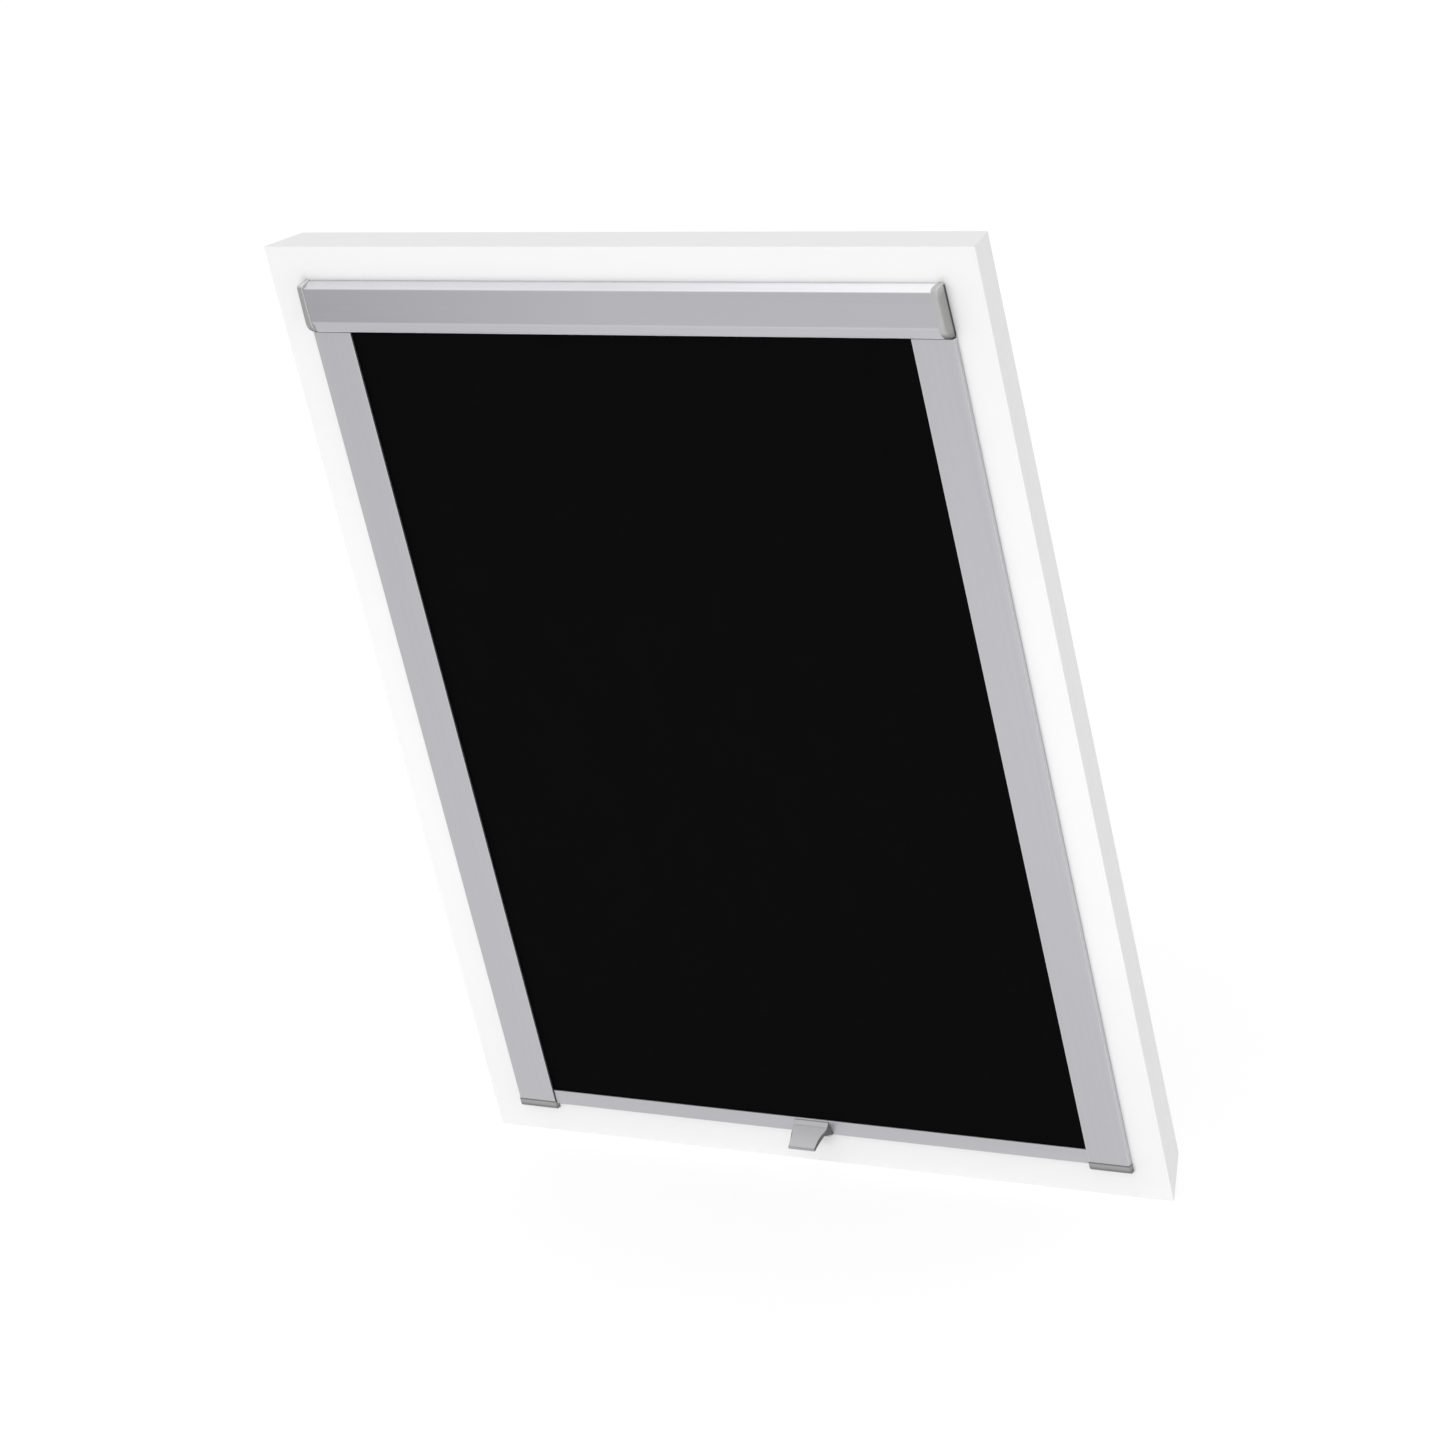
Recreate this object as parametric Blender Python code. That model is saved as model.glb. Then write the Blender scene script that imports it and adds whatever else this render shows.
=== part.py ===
"""Blackout blind for a roof window, on its white mounting frame.

Metres, +Z up, +X to the right, -Y towards the room. The origin is the centre of the back face of the
frame's head. A "proud" distance is how far a place stands in front of the frame's front face.
"""

import math

import bmesh
import bpy
from mathutils import Matrix, Vector

# Mounting frame
FRAME_WIDTH = 0.780
FRAME_HEIGHT = 0.980
FRAME_DEPTH = 0.046
HEAD_HEIGHT = 0.050
SILL_HEIGHT = 0.060
FRAME_EASE = 0.0006

# How much smaller the frame's back face is than its front face, at each edge
SIDE_TAPER = 0.0125
TOP_TAPER = 0.0050
BOTTOM_TAPER = 0.0245

# White frame left bare round the blind
SIDE_REVEAL = 0.0370
TOP_REVEAL = 0.0345
BOTTOM_REVEAL = 0.0293

# Gap between pieces that touch, and round a fixed pin in its hole
GAP = 0.0003

# Cassette
CASSETTE_HEIGHT = 0.0512
CASSETTE_PROUD = 0.0145
CASSETTE_WALL = 0.0013
COVER_FLAT = 0.0040
COVER_SLOPE = 0.0028
COVER_CORNER = 0.0020
COVER_BAND = 0.0147
COVER_LEAN = 25
COVER_TURN = 0.0060
COVER_EDGE = 0.0022
COVER_RISE = 0.0014
BACK_LIP = 0.0040
CLOTH_EXIT = 0.0015
CAP_FLANGE = 0.0075
CAP_RIM = 0.0008
CAP_CORNER = 0.0036
CAP_BELLY = 0.0132
CAP_EASE = 0.0025
CAP_INNER_EASE = 0.0004
CAP_DRAFT = 0.0012
CAP_PLUG = 0.0045
CAP_WALL = 0.0020

# Side rails
RAIL_WIDTH = 0.0440
RAIL_PROUD = 0.0065
RAIL_WALL = 0.0012
RAIL_RIB = 0.0010
RAIL_LIP = 0.0025
RAIL_OVERHANG = 0.0220
RAIL_SETBACK = 0.0010
RAIL_OUTER_EASE = 0.0016
RAIL_INNER_EASE = 0.0008
RAIL_CATCH = 0.0028
SEAL_WIDTH = 0.0030
SEAL_PILE = 0.0011
END_CAP_HEIGHT = 0.0094
END_CAP_RIM = 0.0003
END_CAP_EASE = 0.0040
END_CAP_PLUG = 0.0120
END_CAP_TONGUE = 0.0130
END_CAP_SIDE_EASE = 0.0008

# Cloth, bottom bar and gliders
CLOTH_PROUD = 0.0028
CLOTH_THICK = 0.0003
BAR_HEIGHT = 0.0155
BAR_DEPTH = 0.0038
BAR_LIFT = 0.0066
BAR_EASE = 0.0006
BAR_END_GAP = 0.0008
SLOT_WIDTH = 0.0009
SPLINE_RADIUS = 0.0010
SPLINE_COVER = 0.0021
SPLINE_END = 0.0020
POCKET_HEIGHT = 0.0062
POCKET_FLOOR = 0.0014
POCKET_WALL = 0.00075
GLIDER_TONGUE = 0.0200
GLIDER_NECK = 0.0055
GLIDER_HEIGHT = 0.0115
SHOE_CLEARANCE = 0.0015
PAD_HEIGHT = 0.0070
PAD_LENGTH = 0.0110

# Pull handle
HANDLE_WIDTH = 0.0400
HANDLE_LIP_WIDTH = 0.0310
HANDLE_REACH = 0.0267
HANDLE_DROP = 0.0148
HANDLE_TOP = 0.0018
HANDLE_BULGE = 0.0015
HANDLE_THICK = 0.0027
HANDLE_BASE = 0.0018
HANDLE_HOOK = 0.0018
HANDLE_HOOK_REACH = 0.0034
HANDLE_OVERLAP = 0.0010
GUSSET_THICK = 0.0018
GUSSET_INSET = 0.0004
GUSSET_REACH = 0.0080
GUSSET_BULGE = 0.0007

# Roller
TUBE_RADIUS = 0.0075
TUBE_WALL = 0.0010
ROLL_THICK = 0.00155
WOUND_RADIUS = 0.01175
WOUND_ROOM = 0.00075
CLOTH_MARGIN = 0.0022
PLUG_LENGTH = 0.0140
PLUG_FLANGE = 0.0015
SPINDLE_RADIUS = 0.0025
COLLAR_LENGTH = 0.0015
COLLAR_RADIUS = 0.0040
SEAT_RADIUS = 0.0052
SEAT_LENGTH = 0.0030
SEAT_PLACE = 0.0210
SPRING_LENGTH = 0.1300
SPRING_PITCH = 0.0054
SPRING_RADIUS = 0.0045
SPRING_WIRE = 0.0010
SPRING_PLUG = 0.0150

# Roller brackets
BRACKET_WALL = 0.0025
BRACKET_FOOT = 0.0099
BRACKET_FOOT_THICK = 0.0020
BRACKET_FIT = 0.0004
BRACKET_ROUND = 0.0050

# Screws
SCREW_RADIUS = 0.0016
SCREW_LENGTH = 0.0140
SCREW_POINT = 0.0030
SCREW_HEAD_RADIUS = 0.0030
SCREW_HEAD_HEIGHT = 0.0018
RAIL_SCREWS = 3
RAIL_SCREW_MARGIN = 0.060
CASSETTE_SCREWS = 3
CASSETTE_SCREW_MARGIN = 0.0878
BRACKET_SCREW_SPACING = 0.0120

# Smoothness of curves
ARC_STEPS = 5
BELLY_STEPS = 8
CAP_EASE_STEPS = 3
HANDLE_STEPS = 8
ROUND_SIDES = 32
SMALL_SIDES = 14
CURL_POINTS = 8

# Merging and cutting
MERGE = 1e-7
OVERCUT = 0.0005

# Places worked out from the sizes above
FRAME_FRONT = -FRAME_DEPTH
FRAME_TOP = HEAD_HEIGHT / 2
FRAME_BOTTOM = FRAME_TOP - FRAME_HEIGHT
OPENING_TOP = -HEAD_HEIGHT / 2
OPENING_BOTTOM = FRAME_BOTTOM + SILL_HEIGHT

BLIND_HALF = FRAME_WIDTH / 2 - SIDE_REVEAL
RAIL_INNER = BLIND_HALF - RAIL_WIDTH
OPENING_HALF = RAIL_INNER + RAIL_OVERHANG

CASSETTE_TOP = FRAME_TOP - TOP_REVEAL
CASSETTE_BOTTOM = CASSETTE_TOP - CASSETTE_HEIGHT
COVER_HALF = BLIND_HALF - CAP_FLANGE - GAP
BACK_TOP = CASSETTE_TOP - CASSETTE_WALL - GAP
CHAMBER_TOP = OPENING_TOP - GAP - CASSETTE_WALL
CHAMBER_BOTTOM = CASSETTE_BOTTOM + GAP + CASSETTE_WALL
FLANGE_MIDDLE = (BACK_TOP - CASSETTE_WALL + OPENING_TOP) / 2

BRACKET_OUTER = OPENING_HALF - BRACKET_FIT
BRACKET_INNER = BRACKET_OUTER - BRACKET_WALL
BACK_HALF = BRACKET_INNER - GAP

ROLL_RADIUS = TUBE_RADIUS + GAP + ROLL_THICK
AXIS_PROUD = CLOTH_PROUD - CLOTH_THICK / 2 - GAP - ROLL_RADIUS
AXIS_Y = FRAME_FRONT - AXIS_PROUD
AXIS_Z = (CHAMBER_TOP + CHAMBER_BOTTOM) / 2
CHAMBER_BACK = AXIS_PROUD - WOUND_RADIUS - WOUND_ROOM
COLLAR_OUTER = BRACKET_INNER - GAP
PLUG_OUTER = COLLAR_OUTER - COLLAR_LENGTH - GAP
TUBE_HALF = PLUG_OUTER - PLUG_FLANGE - GAP
CLOTH_HALF = TUBE_HALF - CLOTH_MARGIN

END_CAP_BOTTOM = FRAME_BOTTOM + BOTTOM_REVEAL
RAIL_BOTTOM = END_CAP_BOTTOM + END_CAP_HEIGHT + GAP
RAIL_TOP = CASSETTE_BOTTOM - GAP
BASE_FRONT = GAP + RAIL_WALL
COVER_BACK = RAIL_PROUD - RAIL_WALL
LIP_PROUD = RAIL_PROUD - RAIL_LIP
RIB_FRONT = COVER_BACK - GAP
RAIL_SCREW_X = (OPENING_HALF + BLIND_HALF) / 2

BAR_BOTTOM = END_CAP_BOTTOM + BAR_LIFT
BAR_TOP = BAR_BOTTOM + BAR_HEIGHT
BAR_HALF = RAIL_INNER - BAR_END_GAP
BAR_BACK = CLOTH_PROUD - BAR_DEPTH / 2
BAR_FRONT = CLOTH_PROUD + BAR_DEPTH / 2
CHANNEL_RADIUS = SPLINE_RADIUS + GAP
SPLINE_Z = BAR_TOP - SPLINE_COVER - CHANNEL_RADIUS
SPLINE_HALF = BAR_HALF - SPLINE_END
CLOTH_TOP = AXIS_Z + 2 * OVERCUT
CLOTH_END = SPLINE_Z + SPLINE_RADIUS + GAP

POCKET_LOW = BAR_BOTTOM + POCKET_FLOOR
SHOE_LOW = RAIL_BOTTOM + GAP
SHOE_INNER = RAIL_INNER + GLIDER_NECK
SHOE_OUTER = OPENING_HALF - SHOE_CLEARANCE
SHOE_FRONT = BAR_FRONT - POCKET_WALL - GAP
SHOE_BACK = BAR_BACK + POCKET_WALL + GAP

HANDLE_BACK = BAR_FRONT + GAP
HANDLE_FRONT = HANDLE_BACK + HANDLE_BASE
HANDLE_HEAD = BAR_TOP - HANDLE_TOP
HOOK_TOP = BAR_BOTTOM - GAP
HOOK_BOTTOM = HOOK_TOP - HANDLE_HOOK

SEAT_OUTER = -TUBE_HALF + SEAT_PLACE
SPRING_START = SEAT_OUTER + SEAT_LENGTH + GAP
SPRING_STOP = SPRING_START + SPRING_LENGTH
SPINDLE_STOP = SPRING_STOP + GAP + SPRING_PLUG


def clear_scene():
    """Removes what the scene holds."""
    for obj in list(bpy.data.objects):
        bpy.data.objects.remove(obj, do_unlink=True)


def finish(name, color, roughness, metallic=0.0):
    """A plain Principled material."""
    made = bpy.data.materials.new(name)
    made.use_nodes = True
    shader = made.node_tree.nodes["Principled BSDF"]
    shader.inputs["Base Color"].default_value = (*color, 1.0)
    shader.inputs["Roughness"].default_value = roughness
    shader.inputs["Metallic"].default_value = metallic
    return made


def make_finishes():
    """Every material of the blind, by name."""
    return {
        "white_paint": finish("white_paint", (0.90, 0.90, 0.90), 0.45),
        "silver_aluminium": finish("silver_aluminium", (0.49, 0.48, 0.52), 0.38, 0.6),
        "raw_aluminium": finish("raw_aluminium", (0.62, 0.62, 0.63), 0.45, 0.9),
        "grey_plastic": finish("grey_plastic", (0.40, 0.40, 0.41), 0.50),
        "dark_plastic": finish("dark_plastic", (0.22, 0.22, 0.22), 0.55),
        "zinc_steel": finish("zinc_steel", (0.55, 0.55, 0.53), 0.35, 1.0),
        "spring_steel": finish("spring_steel", (0.30, 0.30, 0.31), 0.35, 1.0),
        "black_pile": finish("black_pile", (0.02, 0.02, 0.02), 0.95),
        "felt": finish("felt", (0.12, 0.12, 0.12), 0.95),
        "blackout_cloth": finish("blackout_cloth", (0.006, 0.006, 0.006), 0.80),
    }


def place(name, bm, material, parent=None, smooth=None):
    """Makes an object of a mesh that is written in world places, or in its parent's."""
    mesh = bpy.data.meshes.new(name)
    bm.to_mesh(mesh)
    bm.free()
    if smooth is not None:
        mesh.shade_smooth()
        mesh.set_sharp_from_angle(angle=math.radians(smooth))
    obj = bpy.data.objects.new(name, mesh)
    bpy.context.scene.collection.objects.link(obj)
    if material is not None:
        mesh.materials.append(material)
    obj.parent = parent
    return obj


def helper(name, bm, parent=None):
    """A cutter or an added shape, left out of the model itself."""
    obj = place(name, bm, None, parent)
    obj.hide_render = True
    obj.display_type = "WIRE"
    return obj


def empty_at(name, location):
    """An empty that carries a moving group."""
    obj = bpy.data.objects.new(name, None)
    bpy.context.scene.collection.objects.link(obj)
    obj.location = location
    return obj


def combine(obj, other, operation="DIFFERENCE"):
    """Adds a Boolean that cuts or joins another object."""
    modifier = obj.modifiers.new(other.name, "BOOLEAN")
    modifier.operation = operation
    modifier.solver = "EXACT"
    modifier.object = other


def arc(centre, radius, start, end, steps):
    """Points of an arc, from one angle to another in degrees."""
    turn = [math.radians(start + (end - start) * i / steps) for i in range(steps + 1)]
    return [(centre[0] + radius * math.cos(a), centre[1] + radius * math.sin(a)) for a in turn]


def bowed(start, end, sagitta, steps):
    """Points of a shallow arc from start to end that stands out to the left of that line."""
    line = Vector(end) - Vector(start)
    side = Vector((-line.y, line.x)).normalized()
    points = []
    for i in range(steps + 1):
        share = i / steps
        bow = 4 * sagitta * share * (1 - share)
        points.append(tuple(Vector(start) + line * share + side * bow))
    return points


def offset_line(path, distance):
    """The path moved sideways to its left, with mitred corners."""
    path = [Vector(point) for point in path]
    sides = []
    for first, second in zip(path, path[1:]):
        along = (second - first).normalized()
        sides.append(Vector((-along.y, along.x)))
    moved = []
    for i, point in enumerate(path):
        before = sides[max(i - 1, 0)]
        after = sides[min(i, len(sides) - 1)]
        middle = (before + after).normalized()
        moved.append(tuple(point + middle * distance / middle.dot(after)))
    return moved


def ribbon(path, thickness):
    """The closed outline of a wall that runs along a path, on its left side."""
    return list(path) + offset_line(path, thickness)[::-1]


def across(points):
    """(proud, z) points as (y, z)."""
    return [(FRAME_FRONT - proud, z) for proud, z in points]


def prism(outline, axis, low, high):
    """A straight body: an outline in the plane across the axis, from low to high along it."""
    places = {
        "X": lambda a, b, along: (along, a, b),
        "Y": lambda a, b, along: (a, along, b),
        "Z": lambda a, b, along: (a, b, along),
    }[axis]
    bm = bmesh.new()
    face = bm.faces.new([bm.verts.new(places(a, b, low)) for a, b in outline])
    pushed = bmesh.ops.extrude_face_region(bm, geom=[face])
    moved = [item for item in pushed["geom"] if isinstance(item, bmesh.types.BMVert)]
    start = Vector(places(0, 0, low))
    bmesh.ops.translate(bm, verts=moved, vec=Vector(places(0, 0, high)) - start)
    bmesh.ops.recalc_face_normals(bm, faces=bm.faces[:])
    return bm


def box(low, high):
    """A block between two corners."""
    outline = [(low[0], low[1]), (high[0], low[1]), (high[0], high[1]), (low[0], high[1])]
    return prism(outline, "Z", low[2], high[2])


def turned(outline, sides):
    """A body turned round the X axis, from a closed outline of (x, radius) points."""
    bm = bmesh.new()
    corners = [bm.verts.new((x, 0.0, radius)) for x, radius in outline]
    for first, second in zip(corners, corners[1:] + corners[:1]):
        if first.co.z > MERGE or second.co.z > MERGE:
            bm.edges.new((first, second))
    bmesh.ops.spin(
        bm, geom=bm.verts[:] + bm.edges[:], cent=(0, 0, 0), axis=(1, 0, 0),
        angle=2 * math.pi, steps=sides, use_merge=True,
    )
    bmesh.ops.remove_doubles(bm, verts=bm.verts[:], dist=MERGE)
    bmesh.ops.recalc_face_normals(bm, faces=bm.faces[:])
    return bm


def rod(radius, start, end, sides):
    """A plain round bar along X."""
    return turned([(start, 0), (start, radius), (end, radius), (end, 0)], sides)


def sleeve(outer, inner, start, end, sides):
    """A plain round tube along X."""
    return turned([(start, inner), (start, outer), (end, outer), (end, inner)], sides)


def mirrored(points, side):
    """An outline with its first coordinate turned to one side, -1 or 1."""
    return [(side * a, b) for a, b in points]


def merged(parts):
    """Several separate meshes as one, for a cutter with many holes."""
    whole = bmesh.new()
    for part in parts:
        mesh = bpy.data.meshes.new("merged")
        part.to_mesh(mesh)
        part.free()
        whole.from_mesh(mesh)
        bpy.data.meshes.remove(mesh)
    return whole


def spaced(low, high, count):
    """Evenly spaced places from low to high."""
    if count < 2:
        return [(low + high) / 2]
    return [low + (high - low) * i / (count - 1) for i in range(count)]


def rail_screw_places(side):
    """(x, z) of a rail's screws, top one first."""
    low = RAIL_BOTTOM + RAIL_SCREW_MARGIN
    high = RAIL_TOP - RAIL_SCREW_MARGIN
    return [(side * RAIL_SCREW_X, z) for z in spaced(high, low, RAIL_SCREWS)]


def cassette_screw_places():
    """(x, z) of the screws through the cassette back's flange."""
    reach = BACK_HALF - CASSETTE_SCREW_MARGIN
    return [(x, FLANGE_MIDDLE) for x in spaced(-reach, reach, CASSETTE_SCREWS)]


def bracket_screw_places(side):
    """(x, z) of the two screws through a roller bracket's foot."""
    x = side * (BRACKET_OUTER + BRACKET_FOOT / 2)
    return [(x, AXIS_Z + step * BRACKET_SCREW_SPACING / 2) for step in (1, -1)]


def screw_hole(place_xz, head_proud):
    """A round cutter for a screw driven into the frame, from under its head to past its point."""
    x, z = place_xz
    radius = SCREW_RADIUS + GAP
    outline = arc((x, z), radius, 0, 360 - 360 / SMALL_SIDES, SMALL_SIDES - 1)
    front = FRAME_FRONT - head_proud - OVERCUT
    back = FRAME_FRONT - head_proud + SCREW_LENGTH + GAP
    return prism(outline, "Y", front, back)


def screw(name, place_xz, head_proud, material):
    """A pan-head screw, driven towards +Y, with the underside of its head at head_proud."""
    length = SCREW_LENGTH
    outline = [
        (-SCREW_HEAD_HEIGHT, 0),
        (-SCREW_HEAD_HEIGHT, SCREW_HEAD_RADIUS * 0.6),
        (-SCREW_HEAD_HEIGHT * 0.5, SCREW_HEAD_RADIUS),
        (0, SCREW_HEAD_RADIUS),
        (0, SCREW_RADIUS),
        (length - SCREW_POINT, SCREW_RADIUS),
        (length, 0),
    ]
    obj = place(name, turned(outline, SMALL_SIDES), material, smooth=35)
    obj.rotation_euler = (0, 0, math.pi / 2)
    obj.location = (place_xz[0], FRAME_FRONT - head_proud - GAP, place_xz[1])
    return obj


def mounting_frame(material):
    """The white ring round the window opening, its outer faces leaning in towards the back."""
    half = FRAME_WIDTH / 2
    ring = box((-half, FRAME_FRONT, FRAME_BOTTOM), (half, 0, FRAME_TOP))
    for vert in ring.verts:
        if vert.co.y > FRAME_FRONT / 2:
            vert.co.x -= math.copysign(SIDE_TAPER, vert.co.x)
            vert.co.z += BOTTOM_TAPER if vert.co.z < 0 else -TOP_TAPER
    frame = place("mounting_frame", ring, material)
    hole = box(
        (-OPENING_HALF, FRAME_FRONT - OVERCUT, OPENING_BOTTOM),
        (OPENING_HALF, OVERCUT, OPENING_TOP),
    )
    combine(frame, helper("opening_cutter", hole))
    ease = frame.modifiers.new("ease", "BEVEL")
    ease.width = FRAME_EASE
    ease.segments = 2
    ease.limit_method = "ANGLE"
    holes = [screw_hole(spot, BASE_FRONT) for side in (-1, 1) for spot in rail_screw_places(side)]
    flange = GAP + CASSETTE_WALL
    holes += [screw_hole(spot, flange) for spot in cassette_screw_places()]
    foot = GAP + BRACKET_FOOT_THICK
    holes += [screw_hole(spot, foot) for side in (-1, 1) for spot in bracket_screw_places(side)]
    combine(frame, helper("pilot_cutter", merged(holes)))


def cover_path():
    """The cassette cover's outer face, (proud, z), from its back edge over the top to its lower lip."""
    top_front = CASSETTE_TOP - COVER_SLOPE
    corner = (CASSETTE_PROUD - COVER_CORNER, top_front - COVER_CORNER)
    turn = (CASSETTE_PROUD - COVER_TURN, CASSETTE_BOTTOM + COVER_BAND)
    lean = math.radians(COVER_LEAN)
    edge_z = CASSETTE_BOTTOM + COVER_RISE + COVER_EDGE
    drop = turn[1] - edge_z - (COVER_TURN - COVER_EDGE) * math.sin(lean)
    inset = (COVER_TURN - COVER_EDGE) * math.cos(lean) - drop * math.tan(lean)
    edge = (turn[0] + inset, edge_z)
    path = [(GAP, CASSETTE_TOP), (COVER_FLAT, CASSETTE_TOP)]
    path += arc(corner, COVER_CORNER, 75, 0, ARC_STEPS)
    path += arc(turn, COVER_TURN, 0, -COVER_LEAN, ARC_STEPS)
    path += arc(edge, COVER_EDGE, -COVER_LEAN, -90, ARC_STEPS)
    return path


def cap_outline():
    """An end cap's outer face, (proud, z): in front of the cover's, with a rounder top corner."""
    top = CASSETTE_TOP + CAP_RIM
    front = CASSETTE_PROUD + CAP_RIM
    path = [(GAP, top)]
    path += arc((front - CAP_CORNER, top - CAP_CORNER), CAP_CORNER, 90, 0, BELLY_STEPS)
    belly = (front - CAP_BELLY, CASSETTE_BOTTOM + CAP_BELLY)
    path += arc(belly, CAP_BELLY, 0, -90, BELLY_STEPS)
    return path + [(GAP, CASSETTE_BOTTOM)]


def cassette(finishes):
    """The back extrusion that carries the roller chamber, the clip-on cover, and their screws."""
    back_path = [
        (BACK_LIP, BACK_TOP),
        (GAP, BACK_TOP),
        (GAP, OPENING_TOP - GAP),
        (CHAMBER_BACK - CASSETTE_WALL, OPENING_TOP - GAP),
        (CHAMBER_BACK - CASSETTE_WALL, CASSETTE_BOTTOM + GAP),
        (CLOTH_PROUD - CLOTH_THICK / 2 - CLOTH_EXIT, CASSETTE_BOTTOM + GAP),
    ]
    outline = across(ribbon(back_path, CASSETTE_WALL))
    back = place(
        "cassette_back", prism(outline, "X", -BACK_HALF, BACK_HALF), finishes["raw_aluminium"]
    )
    flange = GAP + CASSETTE_WALL
    spots = cassette_screw_places()
    combine(back, helper("flange_cutter", merged([screw_hole(spot, flange) for spot in spots])))
    for number, spot in enumerate(spots, 1):
        screw(f"cassette_screw_{number}", spot, flange, finishes["zinc_steel"])

    outline = across(ribbon(cover_path(), -CASSETTE_WALL))
    place(
        "cassette_cover", prism(outline, "X", -COVER_HALF, COVER_HALF),
        finishes["silver_aluminium"], smooth=30,
    )


def cassette_end_cap(side, name, material):
    """A moulded cap: a rimmed flange over the cassette's end and a hollow plug inside the cover."""
    inner = side * (BLIND_HALF - CAP_FLANGE)
    bm = prism(across(cap_outline()), "X", inner, side * BLIND_HALF)
    for outward, ease in ((side, CAP_EASE), (-side, CAP_INNER_EASE)):
        end = max(bm.faces, key=lambda face: outward * face.calc_center_median().x)
        rounded = [edge for edge in end.edges if not on_frame(edge)]
        bmesh.ops.bevel(
            bm, geom=rounded, offset=ease, segments=CAP_EASE_STEPS, profile=0.5, affect="EDGES",
            clamp_overlap=True,
        )
    for vert in bm.verts:
        rise = (vert.co.z - CASSETTE_BOTTOM) / CASSETTE_HEIGHT
        out = (side * vert.co.x - BLIND_HALF + CAP_FLANGE) / CAP_FLANGE
        vert.co.x -= side * CAP_DRAFT * rise * out
    cap = place(name, bm, material, smooth=35)
    fit = offset_line(cover_path(), -CASSETTE_WALL - GAP)
    plug = [(2 * GAP, fit[0][1])] + fit[1:] + [(2 * GAP, fit[-1][1])]
    tip = side * (BLIND_HALF - CAP_FLANGE - CAP_PLUG)
    middle = side * (BLIND_HALF - CAP_FLANGE / 2)
    combine(cap, helper(name + "_plug", prism(across(plug), "X", tip, middle)), "UNION")
    low = (2 * GAP + CAP_WALL, CASSETTE_BOTTOM + CAP_BELLY)
    high = (
        CASSETTE_PROUD - CASSETTE_WALL - GAP - CAP_WALL,
        CASSETTE_TOP - COVER_SLOPE - COVER_CORNER - CAP_WALL,
    )
    pocket = across([low, (high[0], low[1]), high, (low[0], high[1])])
    hollow = prism(pocket, "X", tip - side * OVERCUT, inner)
    combine(cap, helper(name + "_pocket", hollow))


def on_frame(edge):
    """Whether an edge lies along the frame's face."""
    return all(vert.co.y > FRAME_FRONT - 1.5 * GAP for vert in edge.verts)


def roller_bracket(side, name, finishes):
    """An angle plate: a leg beside the roller with a hole for its pin, a foot screwed to the frame."""
    front = GAP + BRACKET_FOOT_THICK
    back = CHAMBER_BACK + GAP
    plan = [
        (BRACKET_INNER, back),
        (BRACKET_OUTER, back),
        (BRACKET_OUTER, GAP),
        (BRACKET_OUTER + BRACKET_FOOT, GAP),
        (BRACKET_OUTER + BRACKET_FOOT, front),
        (BRACKET_INNER, front),
    ]
    outline = [(side * x, FRAME_FRONT - proud) for x, proud in plan]
    bm = prism(outline, "Z", CHAMBER_BOTTOM + GAP, CHAMBER_TOP - GAP)
    deep = FRAME_FRONT - back - MERGE
    wide = BRACKET_OUTER + BRACKET_FOOT - MERGE
    at_back = [edge for edge in bm.edges if min(vert.co.y for vert in edge.verts) > deep]
    at_foot = [edge for edge in bm.edges if min(side * vert.co.x for vert in edge.verts) > wide]
    for edges, size in ((at_back, BRACKET_ROUND), (at_foot, BRACKET_FOOT_THICK)):
        level = [edge for edge in edges if abs(edge.verts[0].co.z - edge.verts[1].co.z) < MERGE]
        bmesh.ops.bevel(bm, geom=level, offset=size, segments=4, profile=0.5, affect="EDGES")
    bracket = place(name, bm, finishes["zinc_steel"])
    hole = rod(SPINDLE_RADIUS + GAP, BRACKET_INNER - OVERCUT, BRACKET_OUTER + OVERCUT, ROUND_SIDES)
    bmesh.ops.transform(hole, matrix=at_axis(side), verts=hole.verts[:])
    bmesh.ops.recalc_face_normals(hole, faces=hole.faces[:])
    combine(bracket, helper(name + "_hole", hole))
    spots = bracket_screw_places(side)
    drill = helper(name + "_drill", merged([screw_hole(spot, front) for spot in spots]))
    combine(bracket, drill)
    for number, spot in enumerate(spots, 1):
        screw(f"{name}_screw_{number}", spot, front, finishes["zinc_steel"])


def at_axis(side=1):
    """The move from the X axis to the roller's axis, mirrored to the left where side is -1."""
    return Matrix.Translation((0, AXIS_Y, AXIS_Z)) @ Matrix.Diagonal((side, 1, 1, 1))


def fixed_round(name, outline, sides, side, material):
    """A round piece on the roller's axis that doesn't turn with it."""
    bm = turned([(side * x, radius) for x, radius in outline], sides)
    obj = place(name, bm, material, smooth=35)
    obj.location = (0, AXIS_Y, AXIS_Z)
    return obj


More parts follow.
